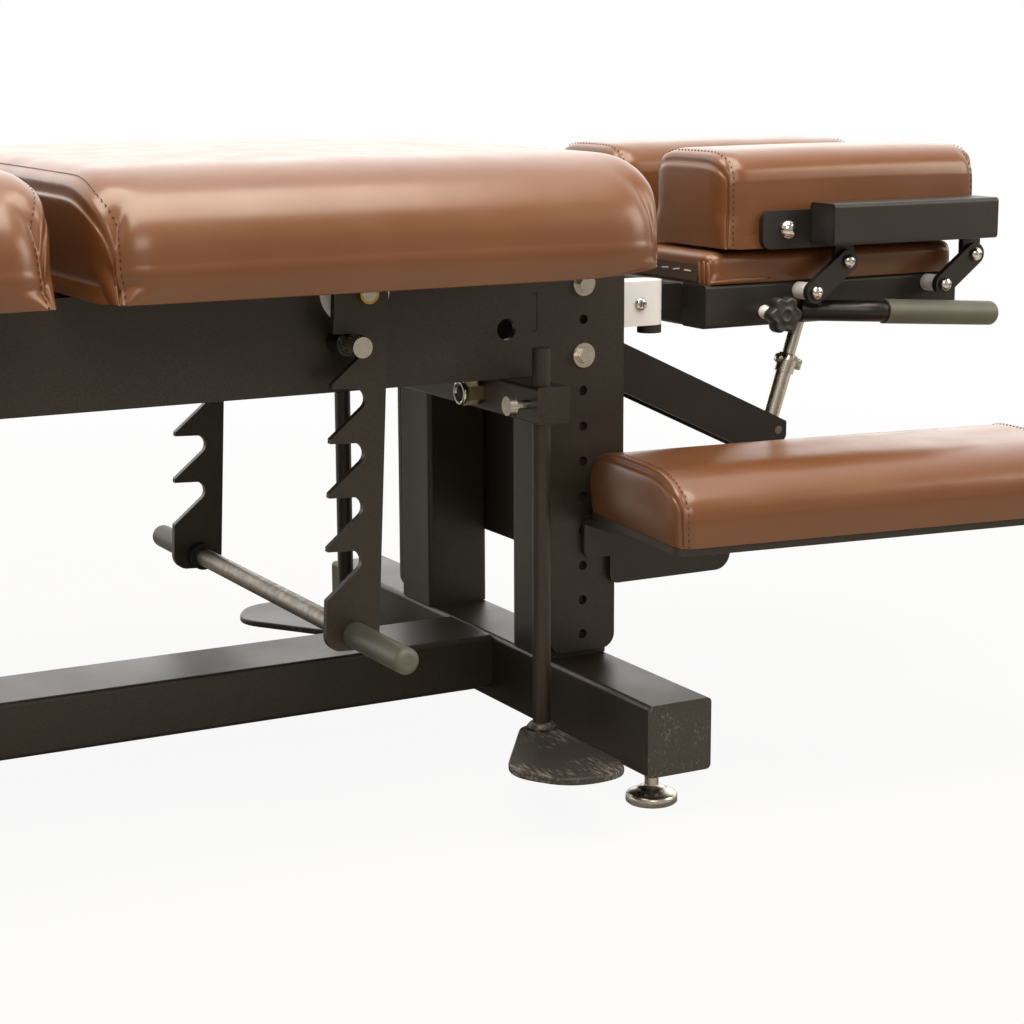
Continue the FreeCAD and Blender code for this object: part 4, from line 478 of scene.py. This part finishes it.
def sewn_cushion(name, body, node, low, high, skin, seams, turn=Matrix(), creases=0.0):
    """Cushion cut from a block, laid on its skin, seamed at the given ends, and stitched.

    seams lists the ends of the block that have a seam, as -1 and 1. turn places the
    finished cushion, which is built standing on the origin.
    """
    half_x, half_y = (high[0] - low[0]) / 2, (high[1] - low[1]) / 2
    height = high[2] - low[2]
    shape = bmesh.new()
    bmesh.ops.create_cube(shape, size=1)
    bmesh.ops.scale(shape, vec=(2 * half_x, 2 * half_y, height), verts=shape.verts)
    bmesh.ops.translate(shape, vec=(0, 0, height / 2), verts=shape.verts)
    coarse = max(half_x, half_y) / 16
    cuts = [((row, 0, 0), (1, 0, 0)) for row in block_rows(half_x, 0.0009, 1.28, coarse)]
    cuts += [((0, row, 0), (0, 1, 0)) for row in block_rows(half_y, 0.0012, 1.45, coarse)]
    cuts += [((0, 0, height / 2 + row), (0, 0, 1))
             for row in block_rows(height / 2, 0.0015, 1.5, height / 12)]
    for place, direction in cuts:
        bmesh.ops.bisect_plane(
            shape, geom=[*shape.verts, *shape.edges, *shape.faces], dist=1e-7,
            plane_co=place, plane_no=direction)
    shape.verts.index_update()
    # Distance of every point near a seam from it: above 0 on the wrap, below on the panel
    seam_reach = 0.03
    gaps = {}
    for vertex in shape.verts:
        x, y, z = vertex.co
        if z < 1e-6:
            continue
        for end in seams:
            wrap_gap = half_x - end * x
            if 1e-6 < wrap_gap < seam_reach:
                gaps[vertex.index] = wrap_gap
            elif wrap_gap <= 1e-6:
                gaps[vertex.index] = -min(half_y - abs(y), height - z)
    plain = {vertex.index: vertex.co.copy() for vertex in shape.verts}
    for vertex in shape.verts:
        vertex.co = skin(vertex.co)
    bmesh.ops.recalc_face_normals(shape, faces=shape.faces)
    shape.normal_update()
    for vertex in shape.verts:
        push = seam_profile(gaps[vertex.index]) if vertex.index in gaps else 0.0
        start = plain[vertex.index]
        if creases and start.z > 1e-6:
            # Soft drag lines where the vinyl is pulled under the board, 35 to 60 mm apart
            pull = max(0.0, 1 - start.z / (0.7 * height))
            run = start.x + 0.6 * start.y
            eased = min(1.0, max(0.0, half_x - abs(start.x) - 0.012) / 0.05)
            push += creases * eased * pull * pull * (
                math.sin(run / 0.0093 + 2.1 * math.sin(run / 0.031)) - 0.4)
        vertex.co += vertex.normal * push
    middle = Vector(((low[0] + high[0]) / 2, (low[1] + high[1]) / 2, low[2]))
    placed = turn @ Matrix.Translation(middle)
    bmesh.ops.transform(shape, matrix=placed, verts=shape.verts)
    cushion = add_piece(name, shape, brown_vinyl, body)
    smoothing = cushion.modifiers.new("soft_surface", "SUBSURF")
    smoothing.levels = 1
    smoothing.render_levels = 1
    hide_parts(node)
    if not seams:
        return cushion

    # Top stitching, up one side, across the top and down the other
    stitches = bmesh.new()
    for end in seams:
        run_x = end * (half_x - stitch_inset)
        line = [(run_x, -half_y, height * step / 60) for step in range(4, 60)]
        line += [(run_x, -half_y + 2 * half_y * step / 400, height) for step in range(401)]
        line += [(run_x, half_y, height * step / 60) for step in range(59, 3, -1)]
        laid = [skin(point) for point in line]
        walked, due = 0.0, 0.0
        for before, after in zip(laid, laid[1:]):
            length = (after - before).length
            while due <= walked + length and length > 0:
                along = (after - before).normalized()
                spot = before.lerp(after, (due - walked) / length)
                outward = Vector((0, spot.y, spot.z - 0.5 * height)).normalized()
                place = Matrix.Translation(spot + outward * 0.0001)
                aim = along.to_track_quat("X", "Z").to_matrix().to_4x4()
                size = Matrix.Diagonal((*stitch_size, 1))
                bmesh.ops.create_icosphere(
                    stitches, subdivisions=1, radius=1, matrix=placed @ place @ aim @ size)
                due += stitch_pitch
            walked += length
    row = add_piece(f"{name}_stitching", stitches, thread, body)
    return cushion


# The wrap reaches down to the underside of the board, where it is pulled under
vinyl_thickness = 0.0006
for name, board, body, seams in (
        ("pelvic_cushion", "deck_boards", "frame", (-1, 1)),
        ("leg_cushion", "deck_boards", "frame", (-1, 1)),
        ("body_cushion", "body_board", "body_section", (-1,))):
    low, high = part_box(name)
    low.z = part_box(board)[0].z + vinyl_thickness
    half_x, half_y, height = (high.x - low.x) / 2, (high.y - low.y) / 2, high.z - low.z
    is_body = name == "body_cushion"
    skin = upholstered_skin(
        half_x, half_y, height, corner=0.045, shoulder=0.084, rise=0.068,
        end_shoulder=0.026, end_rise=0.022, draw=0.0058,
        nose=0.060 if is_body else 0.0, lean=0.0074 if is_body else 0.0)
    sewn_cushion(name + "_upholstery", body, name, low, high, skin, seams, creases=0.0005)


# Head platform: a thin pad on the head frame, wrapped in the same vinyl. A grey-brown dust
# cover is stapled over its end towards the body section, its colour darkened by painted
# shade, and the wrap is folded into welts at the corners.
low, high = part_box("head_platform_pad")
half_x, half_y, height = (high.x - low.x) / 2, (high.y - low.y) / 2, high.z - low.z
skin = upholstered_skin(
    half_x, half_y, height, corner=0.016, shoulder=0.014, rise=0.009,
    end_shoulder=0.010, end_rise=0.006, draw=0.0012)
sewn_cushion("head_platform_upholstery", "head_section", "head_platform_pad",
             low, high, skin, (), creases=0.0002)
pad_foot = Matrix.Translation(((low.x + high.x) / 2, (low.y + high.y) / 2, low.z))

# Dust cover colour: the cloth's own grey-brown, darkened by painted shade on that end
dust_cover_and_painted_shade = moulded("grey_brown_dust_cover_cloth_with_painted_shade", "#35271E", "#4A3829", 0.62, 1400, 0.4)
staple_wire = moulded("bright_staple_wire", "#C4C0B6", "#E6E3DB", 0.30, 900, 0.02)
cover = bmesh.new()
bmesh.ops.create_grid(cover, x_segments=1, y_segments=24, size=1)
for vertex in cover.verts:
    up = 0.10 + 0.66 * (vertex.co.x + 1) / 2
    vertex.co = skin(Vector((-half_x, vertex.co.y * (half_y - 0.019), up * height)))
    vertex.co.x -= 0.0006
bmesh.ops.recalc_face_normals(cover, faces=cover.faces)
bmesh.ops.solidify(cover, geom=cover.faces, thickness=0.0004)
bmesh.ops.transform(cover, matrix=pad_foot, verts=cover.verts)
add_piece("head_platform_dust_cover_with_painted_shade", cover, dust_cover_and_painted_shade, "head_section", False)

staple_count, staple_pitch, first_staple = 13, 0.0192, 0.035
staples = bmesh.new()
for step in range(staple_count):
    across = first_staple - half_y + staple_pitch * step
    spot = skin(Vector((-half_x, across, 0.48 * height)))
    place = (pad_foot @ Matrix.Translation(spot + Vector((-0.0010, 0, 0)))
             @ Matrix.Rotation(math.radians(7 * math.sin(5 * step)), 4, "X")
             @ Matrix.Diagonal((0.0008, 0.0105, 0.0013, 1)))
    bmesh.ops.create_cube(staples, size=1, matrix=place)
add_piece("head_platform_staples", staples, staple_wire, "head_section", False)

# Three folds at each corner, and one that runs back along the near edge. Each fold has
# its distance from the side, how far it stands out, and its half thickness.
welts = bmesh.new()
for side in (-1, 1):
    for inward, out, thick in ((0.0030, 0.0016, 0.0026), (0.0095, 0.0006, 0.0024),
                               (0.0165, 0.0002, 0.0021)):
        spot = skin(Vector((-half_x, side * (half_y - inward), 0.42 * height)))
        place = (pad_foot @ Matrix.Translation(spot + Vector((0.0008 - out, 0, 0)))
                 @ Matrix.Rotation(math.radians(6 * side), 4, "X")
                 @ Matrix.Diagonal((0.0022, thick, 0.40 * height, 1)))
        bmesh.ops.create_uvsphere(welts, u_segments=16, v_segments=12, radius=1, matrix=place)
place = (pad_foot @ Matrix.Translation((0.034 - half_x, -half_y + 0.0004, 0.10 * height))
         @ Matrix.Rotation(math.radians(-1.5), 4, "Y")
         @ Matrix.Diagonal((0.034, 0.0018, 0.0024, 1)))
bmesh.ops.create_uvsphere(welts, u_segments=12, v_segments=24, radius=1, matrix=place)
add_piece("head_platform_corner_welts", welts, brown_vinyl, "head_section")


# Head cushions: a pair on their boards, with the face gap between them. The wrap covers
# the boards' edges.
low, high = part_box("head_cushions")
low.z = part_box("head_cushion_boards")[0].z + vinyl_thickness
half_face_gap = 0.028
pad_width = (high.y - low.y) / 2 - half_face_gap
for side, label in ((-1, "near"), (1, "far")):
    inner = table_middle + side * half_face_gap
    outer = inner + side * pad_width
    pad_low = Vector((low.x, min(inner, outer), low.z))
    pad_high = Vector((high.x, max(inner, outer), high.z))
    skin = upholstered_skin(
        (high.x - low.x) / 2, pad_width / 2, high.z - low.z, corner=0.022,
        shoulder=0.036, rise=0.026, end_shoulder=0.016, end_rise=0.013, draw=0.0016)
    sewn_cushion(f"head_cushion_{label}_upholstery", "head_carriage", "head_cushions",
                 pad_low, pad_high, skin, (-1, 1), creases=0.0003)


# Armrest: a foam pad on a steel tray that swivels on its bracket. The end panel bulges a
# little between its seams, and the wrap rolls over a broad outer shoulder.
low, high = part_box("armrest_cushion_near")
pivot_out = 0.200                       # from the middle plane, as are inner and outer
armrest_pivot = Vector((0.499, table_middle - pivot_out, low.z))
armrest_back, armrest_length = 0.034, 0.420
armrest_inner, armrest_outer = 0.1625, 0.353
armrest_swell = 0.003
armrest_height = high.z - low.z
armrest_angle = math.radians(-6.5)
pad_low = Vector((armrest_swell - armrest_back, pivot_out - armrest_outer, 0))
pad_high = Vector((armrest_length - armrest_back - armrest_swell,
                   pivot_out - armrest_inner, armrest_height))
turn = Matrix.Translation(armrest_pivot) @ Matrix.Rotation(armrest_angle, 4, "Z")
skin = upholstered_skin(
    (pad_high.x - pad_low.x) / 2, (pad_high.y - pad_low.y) / 2, armrest_height,
    corner=0.016, shoulder=0.058, rise=0.034, end_shoulder=0.008, end_rise=0.005,
    draw=0.0018, end_swell=armrest_swell, foot_corner=1.0)
sewn_cushion("armrest_near_upholstery", "armrest_near", "armrest_cushion_near",
             pad_low, pad_high, skin, (-1, 1), turn)


# Levelling feet: a zinc plated disc with a rolled edge, turned with its neck and threaded
# stem. Radius and height of each ring in metres.
foot_profile = [(0.0, 0.0), (0.0208, 0.0), (0.0225, 0.0014), (0.0225, 0.0064),
                (0.0214, 0.0084), (0.0188, 0.0097), (0.0148, 0.0106), (0.0124, 0.0117),
                (0.0114, 0.0140), (0.0070, 0.0142)]
thread_turn, thread_crest, thread_root = 0.00175, 0.0063, 0.0056
thread_end, stem_top = 0.058, 0.0590
while foot_profile[-1][1] + thread_turn < thread_end:
    height = foot_profile[-1][1]
    foot_profile += [(thread_crest, height + thread_turn / 2),
                     (thread_root, height + thread_turn)]
foot_profile += [(thread_root, stem_top), (0.0, stem_top)]


def turned_piece(name, profile, place, finish, body, steps=48):
    """Closed solid of revolution about its own Z axis, from radius and height pairs."""
    shape = bmesh.new()
    rings = [shape.verts.new((radius, 0, height)) for radius, height in profile]
    line = [shape.edges.new(pair) for pair in zip(rings, rings[1:])]
    bmesh.ops.spin(shape, geom=[*rings, *line], cent=(0, 0, 0), axis=(0, 0, 1),
                   angle=2 * math.pi, steps=steps, use_merge=True)
    bmesh.ops.remove_doubles(shape, verts=shape.verts, dist=1e-6)
    bmesh.ops.recalc_face_normals(shape, faces=shape.faces)
    bmesh.ops.transform(shape, matrix=place, verts=shape.verts)
    return add_piece(name, shape, finish, body)


for end in ("head", "foot"):
    for side in ("near", "far"):
        node = f"levelling_foot_{end}_{side}"
        low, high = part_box(node)
        middle = Matrix.Translation(((low.x + high.x) / 2, (low.y + high.y) / 2, low.z))
        foot = turned_piece(f"{node}_turned", foot_profile, middle, zinc, node)
        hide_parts(node)


# Block screws: bright pan heads with a cross recess, one in each nylon block.
head_profile = [(0.0, 0.0), (0.0060, 0.0), (0.0060, 0.0008), (0.0052, 0.0021),
                (0.0036, 0.0028), (0.0, 0.0030)]
head_height = head_profile[-1][1]
low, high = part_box("block_screws")
for side, label, outer in ((-1, "near", low.y), (1, "far", high.y)):
    seat = outer - side * head_height
    place = (Matrix.Translation(((low.x + high.x) / 2, seat, (low.z + high.z) / 2))
             @ Matrix.Rotation(math.radians(-90 * side), 4, "X"))
    head = turned_piece(f"block_screw_{label}", head_profile, place, chrome, "frame", 32)
    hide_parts("block_screws")
    # Painted shade in the cross-shaped hollow of the head: two crossed black slots, each 6.2 mm
    # long and 1.3 mm wide
    recess_painted_shade = bmesh.new()
    for slot_angle in (35, 125):
        bmesh.ops.create_cube(
            recess_painted_shade, size=1, matrix=place @ Matrix.Translation((0, 0, 0.0022))
            @ Matrix.Rotation(math.radians(slot_angle), 4, "Z")
            @ Matrix.Diagonal((0.0062, 0.0013, 0.0015, 1)))
    add_piece(f"block_screw_{label}_recess", recess_painted_shade, black_rubber_and_painted_shade, "frame", False)


# Bolts of the head section: domed heads with a socket, on plain shanks. The two that hold
# the lugs have large round domes.
def button_bolt(name, node, body, place, side, outer, inner, head, rise, socket):
    """Domed bolt across the table; place is its X and Z, outer and inner its ends in Y."""
    shank = 0.0035
    length = abs(outer - inner)
    seat = length - rise
    profile = [(0.0, 0.0), (shank, 0.0), (shank, seat), (head, seat)]
    for step in range(1, 9):
        angle = math.radians(step * 10)
        profile.append((head * math.cos(angle), seat + rise * math.sin(angle)))
    if socket:
        profile += [(socket, profile[-1][1]), (socket, length - 0.6 * rise),
                    (0.0, length - 0.6 * rise)]
    else:
        profile.append((0.0, length))
    placed = (Matrix.Translation((place[0], inner, place[1]))
              @ Matrix.Rotation(math.radians(-90 * side), 4, "X"))
    bolt = turned_piece(name, profile, placed, chrome, body, 32)
    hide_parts(node)


# Radii of the CAD heads give the bolts' middles; then radius, rise and socket of the domes
cad_head, cad_lug_head = 0.0065, 0.009
dome, lug_dome = (0.0062, 0.0035, 0.0020), (0.009, 0.0078, 0)
link_bolt_length, bar_bolt_length, lug_set_back = 0.0323, 0.0173, 0.0093
hanger_pitch = 0.150
lift_low, lift_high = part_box("link_bolts")
bar_low, bar_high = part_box("side_bar_bolts")
for side, label in ((-1, "near"), (1, "far")):
    lift_outer = lift_low.y if side < 0 else lift_high.y
    bar_outer = bar_low.y if side < 0 else bar_high.y
    bar_inner = bar_outer - side * bar_bolt_length
    for row, reach in (("front", lift_low.x + cad_head), ("rear", lift_high.x - cad_head)):
        button_bolt(f"link_bolt_{row}_{label}", "link_bolts", "head_section",
                    (reach, (lift_low.z + lift_high.z) / 2), side, lift_outer,
                    lift_outer - side * link_bolt_length, *dome)
        reach = bar_high.x - cad_head - (hanger_pitch if row == "front" else 0)
        button_bolt(f"side_bar_bolt_{row}_{label}", "side_bar_bolts", "head_carriage",
                    (reach, bar_low.z + cad_head), side, bar_outer, bar_inner, *dome)
    button_bolt(f"lug_bolt_{label}", "side_bar_bolts", "head_carriage",
                (bar_low.x + cad_lug_head, bar_high.z - cad_lug_head), side,
                bar_outer - side * lug_set_back, bar_inner, *lug_dome)


# Lock nuts on the pedal bar: a bright crimped collar holds the dark locking ring.
collar_profile = [(0.0, 0.0), (0.0112, 0.0), (0.0112, 0.0014), (0.0102, 0.0026),
                  (0.0084, 0.0026), (0.0077, 0.0008), (0.0, 0.0008)]
nut_face, nut_out = 0.0037, 0.110
low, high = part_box("pedal_bar_hardware")
for side, label in ((-1, "near"), (1, "far")):
    place = (Matrix.Translation((low.x + nut_face, table_middle + side * nut_out,
                                 (low.z + high.z) / 2))
             @ Matrix.Rotation(math.radians(-90), 4, "Y"))
    turned_piece(f"lock_nut_collar_{label}", collar_profile, place, chrome,
                         "pedals", 32)
    place = place @ Matrix.Translation((0, 0, 0.0006))
    turned_piece(f"lock_nut_bore_{label}",
                         [(0.0, 0.0), (0.0062, 0.0), (0.0062, 0.0005), (0.0, 0.0005)],
                         place, black_rubber_and_painted_shade, "pedals", 24)


# Side plates: cut lines where the beam's tab is welded in, and a slit above its lower
# edge. Each line has its middle and its size, in X and Z.
near_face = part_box("side_plate_near")[0].y
far_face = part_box("side_plate_far")[1].y
lines = bmesh.new()
for face in (near_face, far_face):
    for middle, size in (((0.4271, 0.4170), (0.0014, 0.0330)),
                         ((0.4249, 0.4334), (0.0058, 0.0014)),
                         ((0.4249, 0.4006), (0.0058, 0.0014)),
                         ((0.4030, 0.3612), (0.0260, 0.0014))):
        place = (Matrix.Translation((middle[0], face, middle[1]))
                 @ Matrix.Diagonal((size[0], 0.0005, size[1], 1)))
        bmesh.ops.create_cube(lines, size=1, matrix=place)
add_piece("side_plate_cut_lines", lines, black_rubber_and_painted_shade, "frame", False)


# Foot pedals: 6 mm plates with broad round corners and a small weld flange round the rod.
def rounded_outline(points, rounding):
    """Points of a polygon whose corners are rounded off by the given lengths."""
    outline = []
    for index, corner in enumerate(points):
        before = Vector(points[index - 1])
        after = Vector(points[(index + 1) % len(points)])
        corner = Vector(corner)
        start = corner + (before - corner).normalized() * rounding[index]
        end = corner + (after - corner).normalized() * rounding[index]
        for step in range(9):
            share = step / 8
            outline.append(start.lerp(corner, share).lerp(corner.lerp(end, share), share))
    return outline


low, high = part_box("foot_pedals")
rod_low, rod_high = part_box("pedal_rods")
rod_radius = 0.00795
pedal_corners = ((0.0, 0.0520), (0.0720, 0.1570), (0.0965, 0.1570), (0.0965, 0.0),
                 (0.0330, 0.0))
pedal_rounding = (0.027, 0.012, 0.011, 0.035, 0.026)
edge_round = 0.0014
flange_profile = [(0.0, 0.0), (0.0135, 0.0), (0.0130, 0.0022), (0.0105, 0.0050),
                  (0.0083, 0.0062), (0.0, 0.0062)]
outline = rounded_outline(pedal_corners, pedal_rounding)
for side, label in ((-1, "near"), (1, "far")):
    plate = bmesh.new()
    edge = low.y if side < 0 else high.y
    floor_face = plate.faces.new([
        plate.verts.new((low.x + point.x, edge - side * point.y, low.z))
        for point in outline])
    raised = bmesh.ops.extrude_face_region(plate, geom=[floor_face])["geom"]
    bmesh.ops.translate(
        plate, vec=(0, 0, high.z - low.z),
        verts=[part for part in raised if isinstance(part, bmesh.types.BMVert)])
    bmesh.ops.recalc_face_normals(plate, faces=plate.faces)
    rims = [part for part in plate.edges
            if abs(part.verts[0].co.z - part.verts[1].co.z) < 1e-6]
    bmesh.ops.bevel(plate, geom=rims, offset=edge_round, segments=2, affect="EDGES",
                    profile=0.5, material=-1)
    pedal = add_piece(f"foot_pedal_{label}", plate, scuffed_coat, "pedals", False)
    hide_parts("foot_pedals")
    rod_y = rod_low.y + rod_radius if side < 0 else rod_high.y - rod_radius
    place = Matrix.Translation(((rod_low.x + rod_high.x) / 2, rod_y, high.z))
    flange = turned_piece(f"pedal_flange_{label}", flange_profile, place, scuffed_coat,
                          "pedals", 32)


# Strut clamp: a bright collar where the rod leaves the tube, with a pinched ear on one
# side and its screw on the other.
low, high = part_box("strut_tube")
rod_low, rod_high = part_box("strut_rod")
strut_y = (rod_low.y + rod_high.y) / 2
rod_half = (rod_high.y - rod_low.y) / 2
top = Vector((rod_high.x - rod_half, strut_y, rod_high.z - rod_half))
foot = Vector((rod_low.x + rod_half, strut_y, rod_low.z + rod_half))
slope = (top - foot).normalized()
clamp_drop, clamp_height = 0.009, 0.0130
clamp_foot = foot + slope * ((high.z - clamp_drop - foot.z) / slope.z)
place = (Matrix.Translation(clamp_foot)
         @ Matrix.Rotation(math.atan2(slope.x, slope.z), 4, "Y"))
clamp_profile = [(0.0, 0.0), (0.0088, 0.0), (0.0093, 0.0008), (0.0093, 0.0122),
                 (0.0088, clamp_height), (0.0, clamp_height)]
clamp = turned_piece("strut_clamp", clamp_profile, place, satin_chrome, "strut_lower", 40)
ear = bmesh.new()
ear_place = place @ Matrix.Translation((0.0125, 0, clamp_height / 2))
bmesh.ops.create_cube(ear, size=1,
                      matrix=ear_place @ Matrix.Diagonal((0.0080, 0.0062, 0.0105, 1)))
bmesh.ops.bevel(ear, geom=list(ear.edges), offset=0.0012, segments=2, affect="EDGES",
                profile=0.5, material=-1)
add_piece("strut_clamp_ear", ear, satin_chrome, "strut_lower")
place = (place @ Matrix.Translation((-0.0088, 0, clamp_height / 2))
         @ Matrix.Rotation(math.radians(-90), 4, "Y"))
screw_profile = [(0.0, 0.0), (0.0046, 0.0), (0.0046, 0.0030), (0.0038, 0.0040),
                 (0.0, 0.0042)]
turned_piece("strut_clamp_screw", screw_profile, place, zinc, "strut_lower", 24)


# Lock knob: a moulded star knob with six scalloped lobes, a raised ring round its hub and
# a pale nylon stem. Each ring gives depth from the outer face, radius and depth of scallop.
low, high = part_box("lock_knob")
knob_middle = Vector(((low.x + high.x) / 2, low.y, (low.z + high.z) / 2))
knob_radius, knob_scallop, knob_lobes, knob_steps = 0.0175, 0.0036, 6, 96
knob_rings = [(0.0016, 0.0030, 0), (0.0010, 0.0042, 0), (0.0002, 0.0050, 0),
              (0.0002, 0.0062, 0), (0.0012, 0.0072, 0.1), (0.0012, 0.0126, 0.8),
              (0.0004, 0.0150, 1), (0.0006, 0.0163, 1), (0.0022, 0.0173, 1),
              (0.0048, knob_radius, 1), (0.0112, knob_radius, 1), (0.0136, 0.0168, 1),
              (0.0150, 0.0150, 1), (0.0150, 0.0080, 0.2), (0.0165, 0.0070, 0),
              (0.0165, 0.0038, 0), (0.0300, 0.0038, 0)]
star = bmesh.new()
rows = []
for depth, radius, share in knob_rings:
    row = []
    for step in range(knob_steps):
        angle = 2 * math.pi * step / knob_steps
        hollow = (0.5 - 0.5 * math.cos(knob_lobes * angle)) ** 1.3
        reach = radius - share * knob_scallop * hollow
        row.append(star.verts.new(
            knob_middle + Vector((reach * math.cos(angle), depth, reach * math.sin(angle)))))
    rows.append(row)
for one, two in zip(rows, rows[1:]):
    for step in range(knob_steps):
        following = (step + 1) % knob_steps
        star.faces.new((one[step], one[following], two[following], two[step]))
star.faces.new(rows[0])
star.faces.new(rows[-1])
bmesh.ops.recalc_face_normals(star, faces=star.faces)
knob = add_piece("lock_knob_star", star, black_nylon, "lock_knob")
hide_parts("lock_knob")
place = (Matrix.Translation((knob_middle.x, high.y, knob_middle.z))
         @ Matrix.Rotation(math.radians(90), 4, "X"))
star_depth = 0.0166
stem_end = high.y - low.y - star_depth
stem_profile = [(0.0, 0.0), (0.0062, 0.0), (0.0062, 0.0014), (0.0050, 0.0016),
                (0.0050, 0.0100), (0.0040, 0.0104), (0.0040, stem_end), (0.0, stem_end)]
stem = turned_piece("lock_knob_stem", stem_profile, place, nylon, "lock_knob", 32)
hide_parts("lock_knob")
